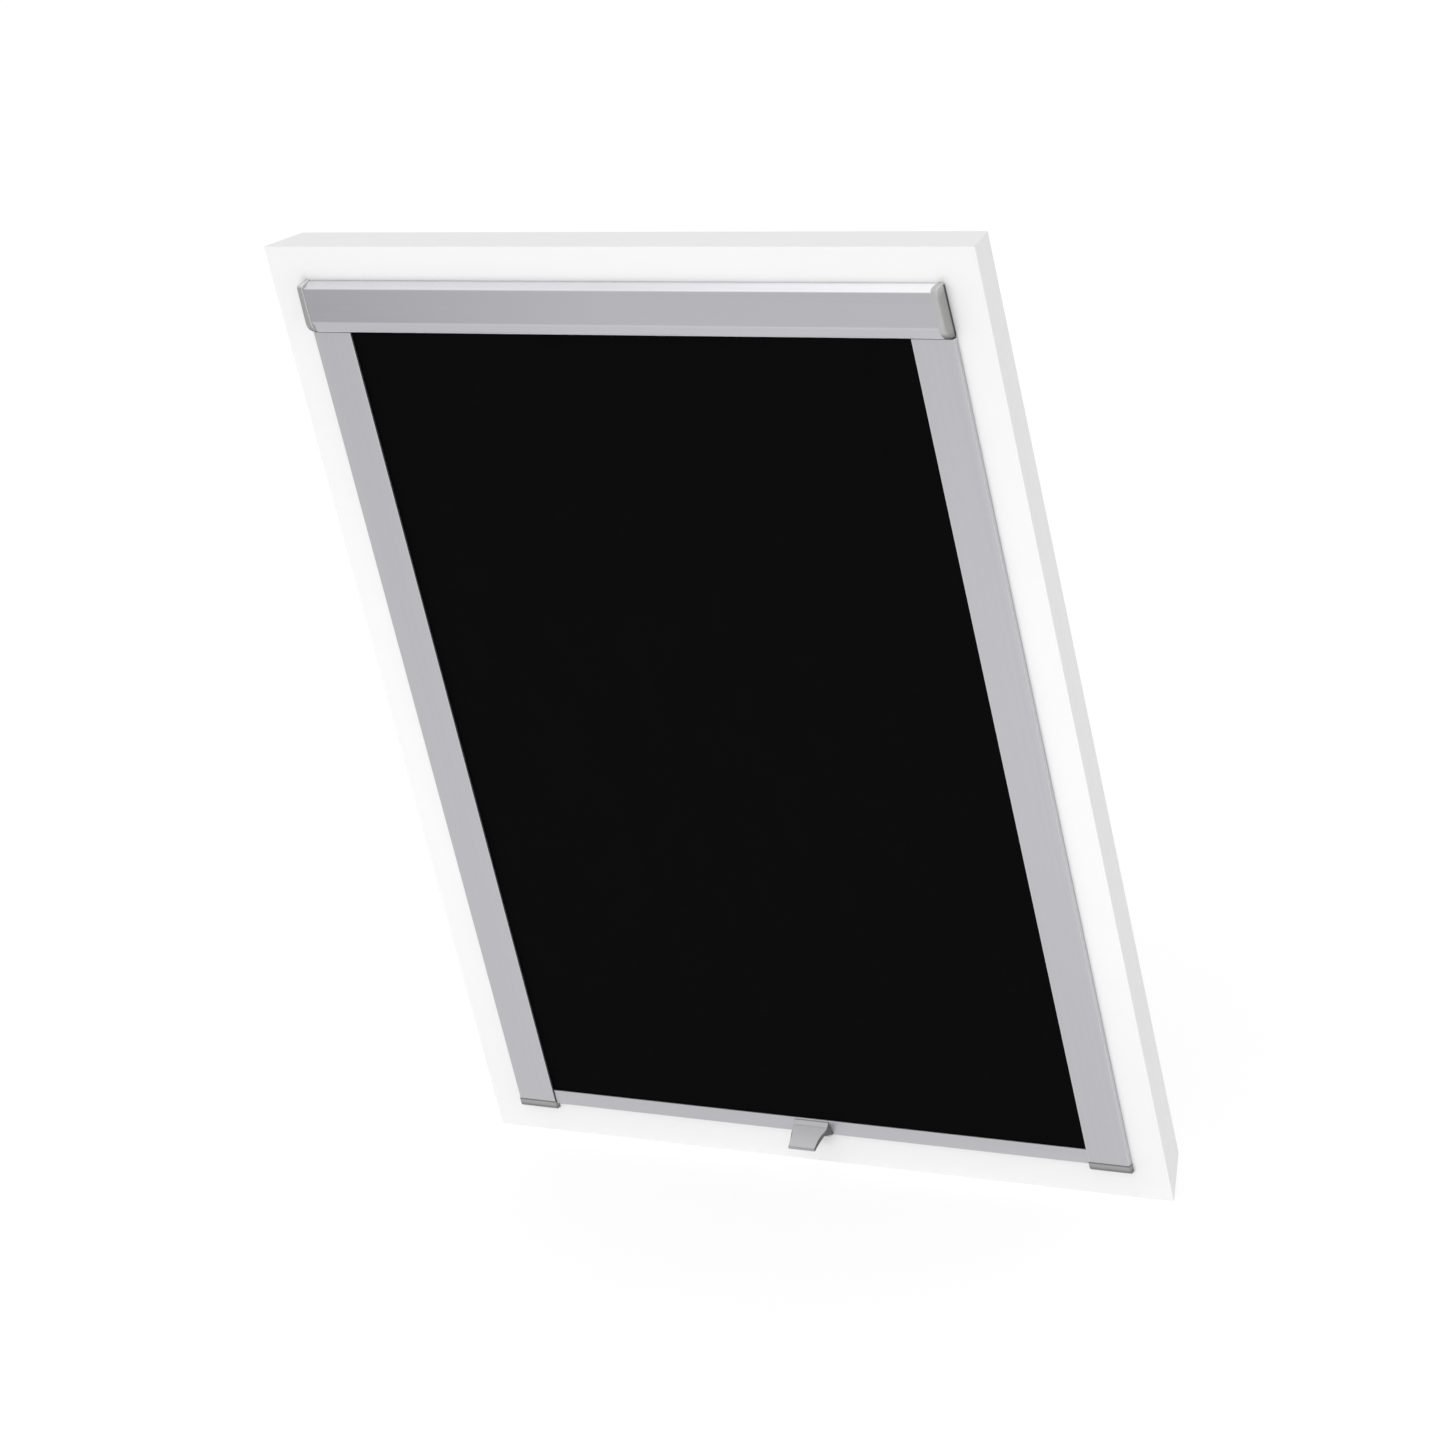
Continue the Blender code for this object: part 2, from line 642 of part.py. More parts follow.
def roller(finishes):
    """The tube with the wound cloth and its plugs, and the spindle and pin that carry it."""
    axis = empty_at("roller_axis", (0, AXIS_Y, AXIS_Z))
    bore = TUBE_RADIUS - TUBE_WALL
    tube = sleeve(TUBE_RADIUS, bore, -TUBE_HALF, TUBE_HALF, ROUND_SIDES)
    place("roller_tube", tube, finishes["raw_aluminium"], axis, smooth=35)
    wound = sleeve(ROLL_RADIUS, TUBE_RADIUS + GAP, -CLOTH_HALF, CLOTH_HALF, ROUND_SIDES)
    place("cloth_roll", wound, finishes["blackout_cloth"], axis, smooth=35)

    body = bore - GAP
    hole = SPINDLE_RADIUS + GAP
    plug = [
        (TUBE_HALF - PLUG_LENGTH, hole),
        (TUBE_HALF - PLUG_LENGTH, body),
        (TUBE_HALF + GAP, body),
        (TUBE_HALF + GAP, TUBE_RADIUS),
        (PLUG_OUTER, TUBE_RADIUS),
        (PLUG_OUTER, hole),
    ]
    for side, name in ((-1, "tube_plug_left"), (1, "tube_plug_right")):
        bm = turned([(side * x, radius) for x, radius in plug], ROUND_SIDES)
        place(name, bm, finishes["dark_plastic"], axis, smooth=35)
    anchor = sleeve(body, hole, SPRING_STOP + GAP, SPINDLE_STOP, ROUND_SIDES)
    place("spring_plug", anchor, finishes["dark_plastic"], axis, smooth=35)

    steel = finishes["zinc_steel"]
    collar_inner = COLLAR_OUTER - COLLAR_LENGTH
    spindle = [
        (-BRACKET_OUTER, 0),
        (-BRACKET_OUTER, SPINDLE_RADIUS),
        (-COLLAR_OUTER, SPINDLE_RADIUS),
        (-COLLAR_OUTER, COLLAR_RADIUS),
        (-collar_inner, COLLAR_RADIUS),
        (-collar_inner, SPINDLE_RADIUS),
        (SEAT_OUTER, SPINDLE_RADIUS),
        (SEAT_OUTER, SEAT_RADIUS),
        (SEAT_OUTER + SEAT_LENGTH, SEAT_RADIUS),
        (SEAT_OUTER + SEAT_LENGTH, SPINDLE_RADIUS),
        (SPINDLE_STOP, SPINDLE_RADIUS),
        (SPINDLE_STOP, 0),
    ]
    fixed_round("spring_spindle", spindle, ROUND_SIDES, 1, steel)
    pin = [
        (TUBE_HALF - PLUG_LENGTH, 0),
        (TUBE_HALF - PLUG_LENGTH, SPINDLE_RADIUS),
        (collar_inner, SPINDLE_RADIUS),
        (collar_inner, COLLAR_RADIUS),
        (COLLAR_OUTER, COLLAR_RADIUS),
        (COLLAR_OUTER, SPINDLE_RADIUS),
        (BRACKET_OUTER, SPINDLE_RADIUS),
        (BRACKET_OUTER, 0),
    ]
    fixed_round("idle_pin", pin, ROUND_SIDES, 1, steel)
    torsion_spring(finishes["spring_steel"])


def torsion_spring(material):
    """A long coil round the spindle, with its two ends turned to run along the axis."""
    leg = 1.5 * SPRING_PITCH
    turns = round((SPRING_LENGTH - 2 * leg) / SPRING_PITCH)
    count = turns * CURL_POINTS
    low = SPRING_START + leg
    step = (SPRING_LENGTH - 2 * leg) / count
    wire = []
    for i in range(count + 1):
        wire.append((low + step * i, 2 * math.pi * i / CURL_POINTS))
    lead = 2 * math.pi / CURL_POINTS
    wire.insert(0, (low - leg * 0.30, wire[0][1] - lead * 0.7))
    wire.insert(0, (low - leg * 0.62, wire[0][1] - lead * 0.2))
    wire.insert(0, (SPRING_START, wire[0][1]))
    wire.append((wire[-1][0] + leg * 0.30, wire[-1][1] + lead * 0.7))
    wire.append((SPRING_STOP - leg * 0.38, wire[-1][1] + lead * 0.2))
    wire.append((SPRING_STOP, wire[-1][1]))
    places = []
    for x, turn in wire:
        places.append(
            Vector((x, SPRING_RADIUS * math.cos(turn), SPRING_RADIUS * math.sin(turn)))
        )
    gap = 1000 * (least_distance(places, CURL_POINTS // 2) - SPRING_WIRE)
    print(f"torsion_spring: least gap between curls {gap:.2f} mm")
    curve = bpy.data.curves.new("torsion_spring", "CURVE")
    curve.dimensions = "3D"
    curve.bevel_depth = SPRING_WIRE / 2
    curve.bevel_resolution = 1
    curve.use_fill_caps = True
    strand = curve.splines.new("POLY")
    strand.points.add(len(wire) - 1)
    for point, spot in zip(strand.points, places):
        point.co = (*spot, 1)
    strand.use_smooth = True
    curve.materials.append(material)
    spring = bpy.data.objects.new("torsion_spring", curve)
    bpy.context.scene.collection.objects.link(spring)
    spring.location = (0, AXIS_Y, AXIS_Z)


def least_distance(places, apart):
    """The least distance between points of a line that lie more than so many points apart."""
    least = math.inf
    for i, spot in enumerate(places):
        for other in places[i + apart + 1 :]:
            least = min(least, (spot - other).length)
    return least


def side_rail(side, word, finishes):
    """A rail: the screwed base, the clip-on cover, the pile seal on its inner edge and its screws."""
    inner = RAIL_INNER + RAIL_SETBACK
    outer = BLIND_HALF - RAIL_WALL - GAP
    rib = OPENING_HALF + RAIL_RIB
    base = [
        (inner, GAP), (outer, GAP), (outer, RIB_FRONT), (outer - RAIL_WALL, RIB_FRONT),
        (outer - RAIL_WALL, BASE_FRONT), (rib, BASE_FRONT), (rib, RIB_FRONT),
        (OPENING_HALF, RIB_FRONT), (OPENING_HALF, BASE_FRONT), (inner, BASE_FRONT),
    ]
    body = place("rail_base_" + word, rail_prism(base, side), finishes["raw_aluminium"])
    spots = rail_screw_places(side)
    drill = merged([screw_hole(spot, BASE_FRONT) for spot in spots])
    combine(body, helper("rail_drill_" + word, drill))
    for number, spot in enumerate(spots, 1):
        screw(f"rail_screw_{word}_{number}", spot, BASE_FRONT, finishes["zinc_steel"])

    catch = rib + GAP
    outer_turn = (BLIND_HALF - RAIL_OUTER_EASE, RAIL_PROUD - RAIL_OUTER_EASE)
    inner_turn = (RAIL_INNER + RAIL_INNER_EASE, RAIL_PROUD - RAIL_INNER_EASE)
    cover = [(BLIND_HALF, GAP)]
    cover += arc(outer_turn, RAIL_OUTER_EASE, 0, 90, ARC_STEPS)
    cover += arc(inner_turn, RAIL_INNER_EASE, 90, 180, ARC_STEPS)
    cover += [
        (RAIL_INNER, LIP_PROUD), (RAIL_INNER + RAIL_WALL, LIP_PROUD),
        (RAIL_INNER + RAIL_WALL, COVER_BACK), (catch, COVER_BACK),
        (catch, COVER_BACK - RAIL_CATCH), (catch + RAIL_RIB, COVER_BACK - RAIL_CATCH),
        (catch + RAIL_RIB, COVER_BACK), (BLIND_HALF - RAIL_WALL, COVER_BACK),
        (BLIND_HALF - RAIL_WALL, GAP),
    ]
    place(
        "rail_cover_" + word, rail_prism(cover, side), finishes["silver_aluminium"], smooth=30
    )

    start = RAIL_INNER + RAIL_WALL + GAP
    pile = [
        (start, RIB_FRONT - SEAL_PILE), (start + SEAL_WIDTH, RIB_FRONT - SEAL_PILE),
        (start + SEAL_WIDTH, RIB_FRONT), (start, RIB_FRONT),
    ]
    place("rail_seal_" + word, rail_prism(pile, side), finishes["black_pile"])


def rail_prism(outline, side):
    """A rail's (x, proud) section over the rail's whole length."""
    points = [(side * x, FRAME_FRONT - proud) for x, proud in outline]
    return prism(points, "Z", RAIL_BOTTOM, RAIL_TOP)


def rail_end_cap(side, word, material):
    """A moulded cap under a rail, rounded at its lower front, with a tongue up into the rail."""
    top = END_CAP_BOTTOM + END_CAP_HEIGHT
    front = RAIL_PROUD + END_CAP_RIM
    centre = (front - END_CAP_EASE, END_CAP_BOTTOM + END_CAP_EASE)
    outline = [(GAP, top), (front, top)]
    outline += arc(centre, END_CAP_EASE, 0, -90, ARC_STEPS)
    outline += [(GAP, END_CAP_BOTTOM)]
    low = side * (RAIL_INNER - END_CAP_RIM)
    high = side * (BLIND_HALF + END_CAP_RIM)
    bm = prism(across(outline), "X", low, high)
    ends = []
    for edge in bm.edges:
        first, second = [vert.co for vert in edge.verts]
        along_x = abs(first.x - second.x) > MERGE
        level_top = min(first.z, second.z) > top - MERGE
        if not (along_x or level_top or on_frame(edge)):
            ends.append(edge)
    bmesh.ops.bevel(
        bm, geom=ends, offset=END_CAP_SIDE_EASE, segments=2, profile=0.5, affect="EDGES",
        clamp_overlap=True,
    )
    cap = place("rail_end_cap_" + word, bm, material, smooth=35)
    middle = (OPENING_HALF + BLIND_HALF) / 2
    near = side * (middle - END_CAP_TONGUE / 2)
    far = side * (middle + END_CAP_TONGUE / 2)
    tongue = box(
        (near, FRAME_FRONT - RIB_FRONT, END_CAP_BOTTOM + END_CAP_EASE),
        (far, FRAME_FRONT - BASE_FRONT - GAP, RAIL_BOTTOM + END_CAP_PLUG),
    )
    combine(cap, helper("rail_tongue_" + word, tongue), "UNION")


def bottom_bar(carriage, finishes):
    """The extruded bar that holds the cloth's hem on a spline, with a pocket for the gliders."""
    near, far = BAR_BACK, BAR_FRONT
    low, high = BAR_BOTTOM, BAR_TOP
    ease = BAR_EASE
    slot = SLOT_WIDTH / 2
    lean = math.degrees(math.asin(slot / CHANNEL_RADIUS))
    outline = [(CLOTH_PROUD + slot, high)]
    outline += arc((far - ease, high - ease), ease, 90, 0, 2)
    outline += arc((far - ease, low + ease), ease, 0, -90, 2)
    outline += arc((near + ease, low + ease), ease, -90, -180, 2)
    outline += arc((near + ease, high - ease), ease, 180, 90, 2)
    outline += [(CLOTH_PROUD - slot, high)]
    outline += arc((CLOTH_PROUD, SPLINE_Z), CHANNEL_RADIUS, 90 + lean, 450 - lean, SMALL_SIDES)
    bar = place(
        "bottom_bar", prism(across(outline), "X", -BAR_HALF, BAR_HALF),
        finishes["silver_aluminium"], smooth=35,
    )
    hollow = box(
        (-BAR_HALF - OVERCUT, FRAME_FRONT - BAR_FRONT + POCKET_WALL, POCKET_LOW),
        (BAR_HALF + OVERCUT, FRAME_FRONT - BAR_BACK - POCKET_WALL, POCKET_LOW + POCKET_HEIGHT),
    )
    pocket = helper("bar_pocket", hollow)
    combine(bar, pocket)
    ride_on(bar, carriage)
    ride_on(pocket, carriage)

    rib = rod(SPLINE_RADIUS, -SPLINE_HALF, SPLINE_HALF, SMALL_SIDES)
    bmesh.ops.translate(rib, verts=rib.verts[:], vec=(0, FRAME_FRONT - CLOTH_PROUD, SPLINE_Z))
    ride_on(place("hem_spline", rib, finishes["dark_plastic"], smooth=35), carriage)


def ride_on(obj, empty):
    """Gives an object a parent and keeps its place."""
    obj.parent = empty
    obj.matrix_parent_inverse = Matrix.Translation(empty.location).inverted()


def glider(side, word, carriage, finishes):
    """A glider: a tongue in the bar's pocket, a neck past the rail's lip and a shoe inside the rail."""
    tongue_low = POCKET_LOW + GAP
    tongue_high = POCKET_LOW + POCKET_HEIGHT - GAP
    shoe_high = SHOE_LOW + GLIDER_HEIGHT
    ease = 2 * BAR_EASE
    outline = [
        (BAR_HALF - GLIDER_TONGUE, tongue_low), (BAR_HALF, tongue_low), (BAR_HALF, SHOE_LOW),
        (SHOE_OUTER - ease, SHOE_LOW), (SHOE_OUTER, SHOE_LOW + ease),
        (SHOE_OUTER, shoe_high - ease), (SHOE_OUTER - ease, shoe_high),
        (SHOE_INNER + ease, shoe_high), (SHOE_INNER, shoe_high - ease),
        (SHOE_INNER, tongue_high), (BAR_HALF - GLIDER_TONGUE, tongue_high),
    ]
    bm = slab(mirrored(outline, side), SHOE_BACK, SHOE_FRONT)
    ride_on(place("glider_" + word, bm, finishes["dark_plastic"]), carriage)

    middle = (SHOE_INNER + SHOE_OUTER) / 2
    centre = (SHOE_LOW + shoe_high) / 2
    pad = [
        (middle - PAD_LENGTH / 2, centre - PAD_HEIGHT / 2),
        (middle + PAD_LENGTH / 2, centre - PAD_HEIGHT / 2),
        (middle + PAD_LENGTH / 2, centre + PAD_HEIGHT / 2),
        (middle - PAD_LENGTH / 2, centre + PAD_HEIGHT / 2),
    ]
    bm = slab(mirrored(pad, side), SHOE_FRONT + GAP, RIB_FRONT)
    ride_on(place("brake_pad_" + word, bm, finishes["felt"]), carriage)


def slab(outline, back, front):
    """A flat body: an (x, z) outline between two distances proud of the frame."""
    return prism([(x, z) for x, z in outline], "Y", FRAME_FRONT - front, FRAME_FRONT - back)


def tapered(bm):
    """Narrows a piece of the handle towards its lip."""
    reach = HANDLE_BACK + HANDLE_REACH
    for vert in bm.verts:
        proud = FRAME_FRONT - vert.co.y
        share = (proud - HANDLE_BACK) / (reach - HANDLE_BACK)
        share = min(max(share, 0.0), 1.0)
        vert.co.x *= 1 + share * (HANDLE_LIP_WIDTH / HANDLE_WIDTH - 1)
    return bm


def pull_handle(carriage, material):
    """The moulded handle: a base hooked under the bar, a leaning finger plate and two gussets."""
    half = HANDLE_WIDTH / 2
    start = (HANDLE_BACK + GAP, HANDLE_HEAD)
    lip = (HANDLE_BACK + HANDLE_REACH, HANDLE_HEAD - HANDLE_DROP)
    face = bowed(start, lip, HANDLE_BULGE, HANDLE_STEPS)
    under = [(proud, z - HANDLE_THICK) for proud, z in face]
    plate = tapered(prism(across(face + under[::-1]), "X", -half, half))
    handle = place("pull_handle", plate, material, smooth=35)

    sill = HANDLE_HEAD - HANDLE_OVERLAP
    base = [
        (HANDLE_BACK, sill), (HANDLE_FRONT, sill), (HANDLE_FRONT, HOOK_BOTTOM),
        (HANDLE_BACK - HANDLE_HOOK_REACH, HOOK_BOTTOM),
        (HANDLE_BACK - HANDLE_HOOK_REACH, HOOK_TOP), (HANDLE_BACK, HOOK_TOP),
    ]
    inset = half - GUSSET_INSET
    grip = helper("handle_base", prism(across(base), "X", -inset, inset))
    combine(handle, grip, "UNION")

    tip = HANDLE_FRONT + GUSSET_REACH
    meet = near_point(under, tip)
    corner = (HANDLE_FRONT - HANDLE_OVERLAP, HOOK_BOTTOM + HANDLE_OVERLAP)
    lower = bowed(corner, (tip, meet + HANDLE_OVERLAP), -GUSSET_BULGE, 4)
    web = lower + [(HANDLE_FRONT - HANDLE_OVERLAP, sill - HANDLE_OVERLAP / 2)]
    pieces = [grip]
    for side, word in ((-1, "left"), (1, "right")):
        low = side * (inset - GUSSET_INSET - GUSSET_THICK)
        high = side * (inset - GUSSET_INSET)
        gusset = helper("gusset_" + word, tapered(prism(across(web), "X", low, high)))
        combine(handle, gusset, "UNION")
        pieces.append(gusset)
    for piece in [handle] + pieces:
        ride_on(piece, carriage)


def near_point(line, proud):
    """The height of a line of (proud, z) points at one distance proud."""
    for (first, low), (second, high) in zip(line, line[1:]):
        if first <= proud <= second:
            return low + (high - low) * (proud - first) / (second - first)
    return line[-1][1]


def blackout_cloth(material):
    """The cloth from the roller to the bar, with its narrower hem down in the bar's slot."""
    shoulder = BAR_TOP + GAP
    outline = [
        (CLOTH_HALF, CLOTH_TOP), (CLOTH_HALF, shoulder), (SPLINE_HALF, shoulder),
        (SPLINE_HALF, CLOTH_END), (-SPLINE_HALF, CLOTH_END), (-SPLINE_HALF, shoulder),
        (-CLOTH_HALF, shoulder), (-CLOTH_HALF, CLOTH_TOP),
    ]
    back = CLOTH_PROUD - CLOTH_THICK / 2
    place("blackout_cloth", slab(outline, back, back + CLOTH_THICK), material)


def main():
    clear_scene()
    finishes = make_finishes()
    mounting_frame(finishes["white_paint"])
    cassette(finishes)
    roller(finishes)
    middle = (BAR_TOP + BAR_BOTTOM) / 2
    carriage = empty_at("bar_carriage", (0, FRAME_FRONT - CLOTH_PROUD, middle))
    bottom_bar(carriage, finishes)
    for side, word in ((-1, "left"), (1, "right")):
        cassette_end_cap(side, "cassette_end_cap_" + word, finishes["grey_plastic"])
        roller_bracket(side, "roller_bracket_" + word, finishes)
        side_rail(side, word, finishes)
        rail_end_cap(side, word, finishes["dark_plastic"])
        glider(side, word, carriage, finishes)
    pull_handle(carriage, finishes["grey_plastic"])
    blackout_cloth(finishes["blackout_cloth"])


main()
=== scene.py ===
"""Dresses the roof window blind: finishes, cloth, finger pull, seals, light and camera."""

import math

import bmesh
import bpy
from bpy.props import FloatProperty, FloatVectorProperty, IntProperty, PointerProperty
from mathutils import Matrix, Vector


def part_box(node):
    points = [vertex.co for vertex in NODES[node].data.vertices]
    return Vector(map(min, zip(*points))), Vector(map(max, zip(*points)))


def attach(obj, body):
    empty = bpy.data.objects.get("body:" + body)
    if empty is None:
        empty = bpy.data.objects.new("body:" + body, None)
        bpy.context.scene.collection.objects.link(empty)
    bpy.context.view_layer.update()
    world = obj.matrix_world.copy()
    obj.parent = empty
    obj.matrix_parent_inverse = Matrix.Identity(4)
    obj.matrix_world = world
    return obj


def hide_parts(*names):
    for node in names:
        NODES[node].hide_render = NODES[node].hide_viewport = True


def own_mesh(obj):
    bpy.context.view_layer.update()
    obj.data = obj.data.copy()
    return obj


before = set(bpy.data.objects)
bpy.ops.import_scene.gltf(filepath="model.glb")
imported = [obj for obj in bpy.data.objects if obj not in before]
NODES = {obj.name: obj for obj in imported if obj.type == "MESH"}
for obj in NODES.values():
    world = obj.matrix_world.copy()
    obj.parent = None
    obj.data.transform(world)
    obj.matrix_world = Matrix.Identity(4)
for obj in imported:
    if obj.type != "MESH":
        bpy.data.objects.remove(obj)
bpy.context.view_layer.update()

bl_info = {
    "name": "Roof window blind",
    "version": (1, 0, 0),
    "blender": (4, 5, 0),
    "location": "3D View > Sidebar > Blind",
    "description": "Dresses a blackout blind for a roof window and sets up its studio",
    "category": "Object",
}

SIDES = ((-1, "left"), (1, "right"))
FRAME_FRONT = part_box("mounting_frame")[0].y
RAIL_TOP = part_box("rail_cover_right")[1].z
BAR_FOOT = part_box("bottom_bar")[0].z

# The gap between pieces that touch, how far some reach across it, how much of each piece's end
# moves for that, and how near counts as the same place
GAP = 0.0003
COVER_OVERLAP = 0.00025
CAP_OVERLAP = 0.00032
COVER_LIP = 0.0015
RAIL_END = 0.0010
NEAR = 1e-5

# How finely the cloth is divided, and the shares that shape the soft parts
CLOTH_GRID = (24, 32)
STEPS_PER_TURN = 40
TUFT_SPAN = (0.15, 0.85)
TUFT_TIP = (0.8, 1, 0.45)
PAD_CROWN_SHARE = 0.1
PAD_INSET_SHARE = 0.22

# The finger pull's plate. An outline is (how far out from the pull's back, half width), and the
# crease and its turn are (how far out, how far down). The lean is bowed by PLATE_BOW.
PLATE_TOP = (
    (0.0, 0.0199), (0.0036, 0.0196), (0.0078, 0.0191), (0.0110, 0.0172), (0.0138, 0.0159),
    (0.0190, 0.0154), (0.0267, 0.0151),
)
PLATE_SKIRT = (
    (0.0, 0.0199), (0.0036, 0.0198), (0.0078, 0.0197), (0.0110, 0.0192), (0.0138, 0.0184),
    (0.0190, 0.0171), (0.0267, 0.0155),
)
CREASE = (0.0036, 0.0038)
CREASE_TURN = (0.0002, 0.0004)
PLATE_ROOT = 0.0006
PLATE_BOW = 0.0008
PLATE_STEPS = 8

# The pull's base and its flared skirt, measured from the pull's box and from the bar's foot
BASE_THICK = 0.0018
BASE_HEAD = 0.0024
BASE_FOOT = 0.0023
BASE_INSET = 0.0006
FLARE_HEIGHT = BAR_FOOT + 0.0015
FLARE_HALF = 0.0229
FLARE_INSET = 0.0004
UNDER_INSET = 0.0016

# The webs between the pull's plate and base; the tip is CHEEK_TIP times as high as the root
CHEEK_REACH = 0.0098
CHEEK_DROP = 0.0100
CHEEK_WALL = 0.0018
CHEEK_HEAD = 0.0018
CHEEK_FOOT = 0.0008
CHEEK_TIP = 0.045
CHEEK_INSET = 0.0004

# What blends the pull's parts into one moulding
BLEND_VOXEL = 0.0003
BLEND_SMOOTHING = 0.5
BLEND_PASSES = 6
BLEND_SHARE_KEPT = 0.25

# Painted light and shade in the finishes: factors on the base colour of each part
# The cassette cover: painted highlight on the slope, painted reflection on the lower band and under
# the lip, painted shade at the left and on the flat top
COVER_PAINTED_LIGHT = {
    "band": 1.18, "band_left": 1.12, "slope": 1.70, "slope_right": 1.28, "slope_left": 1.12,
    "lip": 1.9, "left": 0.82, "top": 0.85,
}
# The rail covers: painted highlight along the inner edge, painted shade on the inner side, a
# lighter painted outer side
RAIL_PAINTED_LIGHT = {"inner_line": 1.14, "outer_side": 1.22, "inner_side": 0.45}
# The cassette caps: painted shade on the outer sides, underside, foot and left cap, painted
# highlights on the front, top, crown and inner faces, a painted shadow line at the frame
CAP_PAINTED_LIGHT = {
    "outer": 0.92, "inner": 1.45, "inner_left": 1.32, "front": 1.09, "under": 0.62, "left": 0.77,
    "upper": 1.30, "upper_left": 1.55, "crown": 1.32, "foot": 0.60, "joint": 0.22,
}
# The finger pull: painted shade on its sides, lip and head, darkest in a line at the crease
PULL_PAINTED_LIGHT = {"sides": 0.24, "head": 0.68, "crease": 1.14, "lip": 0.58}

# Where the painted light and shade change: how far a surface faces along an axis (-1 to 1), as
# (start, end)
SLOPE_FACING = (0.50, 0.90)
LIP_FACING = (-0.62, -0.45)
TOP_FACING = (0.975, 0.995)
SIDE_FACING = (0.3, 0.9)
CAP_UNDER_FACING = (-0.85, -0.25)
CAP_FRONT_FACING = (-0.95, -0.60)
CAP_UPPER_FACING = (0.25, 0.80)
CAP_INNER_FACING = (0.10, 0.45)
CAP_JOINT_FACING = (0.2, 0.5)
PULL_SIDE_FACING = (0.35, 0.65)
PULL_UPPER_FACING = (0.2, 0.5)

# Where the painted light and shade change on the cassette's caps: X times how far the surface faces
# along X
CAP_OUTER = (0.07, 0.30)
CAP_INNER = (-0.25, -0.05)
CAP_CROWN_SIDE = (0.05, 0.20)

# Where the painted light and shade change: distances from a piece's edge in metres, as (start, end)
COVER_BAND = (0.0124, 0.0132)
RAIL_LINE = (0.0006, 0.0016)
RAIL_INNER_SIDE = (0.0002, 0.0006)
RAIL_OUTER_SIDE = (-0.0010, -0.0004)
CAP_CROWN = (-0.0095, -0.0035)
CAP_FOOT = (0.0030, 0.0085)
CAP_JOINT = (-0.0040, -0.0024)
PULL_HEAD_LINE = (-0.0009, -0.0006)
PULL_CREASE_LINE = (0.0003, 0.0006)
PULL_LIP = (0.0004, 0.0008)
MIDDLE = (-0.1, 0.1)

# The rail end caps' painted shade and highlight in steps: factor below and above, and the height
# over the cap's foot as (start, end). Painted shade darkens the lower band and the foot, a painted
# highlight lightens a line near the top, and the top above it is darker.
RAIL_CAP_PAINTED_STEPS = (
    (0.60, 1.0, 0.0034, 0.0052), (0.55, 1.0, 0.0006, 0.0014),
    (1.0, 1.12, 0.0066, 0.0072), (1.0, 0.60, 0.0080, 0.0086),
)

# The studio and the photograph's camera
FLOOR_SIZE = 30
FRONT_LAMP_PLACE = (0.1, -3.6, 0.25)
FRONT_LAMP_SIZE = 1.6
LOW_LAMP_FRONT = -1.5
LOW_LAMP_RISE = 0.15
LOW_LAMP_SIZE = 0.9
FOOT_RISE = 0.05
WHITE = (1, 1, 1, 1)
FLOOR_WHITE = (0.82, 0.82, 0.82)
FLOOR_GLOW_SHARE = 0.75
FLOOR_GLOW = 1.12
FLOOR_GLOW_LEFT = 0.89
FLOOR_FALL = (-3.0, -0.2)
CAMERA_PLACE = (2.557786, -3.494668, 1.498684)
CAMERA_FORWARD = (-0.5414546, 0.7309336, -0.415407)
CAMERA_UP = (-0.0513781, 0.4644116, 0.8841279)
CAMERA_LENS = 124.38
SENSOR_WIDTH = 36.0


def middle_of(node):
    """The middle of a node's box."""
    low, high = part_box(node)
    return (low + high) / 2


# Settings a user would change


def tint(name, description, colour):
    """A colour setting."""
    return FloatVectorProperty(
        name=name, description=description, default=colour, subtype="COLOR", size=3, min=0, max=1
    )


def length(name, description, default):
    """A size setting in metres."""
    return FloatProperty(
        name=name, description=description, default=default, min=0.0, max=0.1,
        subtype="DISTANCE", unit="LENGTH", precision=5,
    )


class BlindColours(bpy.types.PropertyGroup):
    """The colours of the blind's finishes."""

    paint: tint("Frame paint", "White lacquer of the mounting frame", (0.880, 0.880, 0.878))
    silver: tint("Rail silver", "Anodised side rails and bottom bar", (0.500, 0.497, 0.520))
    cassette: tint("Cassette silver", "Anodised cover of the cassette", (0.476, 0.474, 0.499))
    end_cap: tint("End cap grey", "End caps of the cassette", (0.440, 0.438, 0.436))
    raw: tint("Plain aluminium", "Extrusions behind the covers", (0.560, 0.560, 0.565))
    pull: tint("Pull grey", "Moulded finger pull", (0.575, 0.572, 0.587))
    dark: tint("Dark grey plastic", "Rail end caps, plugs and gliders", (0.300, 0.300, 0.300))
    zinc: tint("Zinc", "Screws, brackets, spindle and pin", (0.560, 0.555, 0.530))
    spring: tint("Spring wire", "Oiled spring wire", (0.250, 0.245, 0.240))
    cloth: tint("Blackout cloth", "Coated cloth", (0.0026, 0.0026, 0.0027))
    pile: tint("Pile", "Brush seals in the rails", (0.018, 0.018, 0.019))
    felt: tint("Felt", "Brake pads of the gliders", (0.090, 0.088, 0.085))


class BlindSizes(bpy.types.PropertyGroup):
    """The sizes of the pieces that the frame doesn't hold."""

    cloth_thickness: length("Cloth thickness", "Thickness of the blackout cloth", 0.0003)
    pull_thickness: length("Pull thickness", "Thickness of the finger pull's plate", 0.0027)
    pile_backing: length("Pile backing", "Thickness of the seals' woven backing", 0.0003)
    pile_pitch: length("Tuft pitch", "Distance between the tufts of the seals", 0.0014)
    wound_turns: IntProperty(
        name="Wound turns", description="Turns of cloth left on the tube when the blind is down",
        default=5, min=1, max=12,
    )


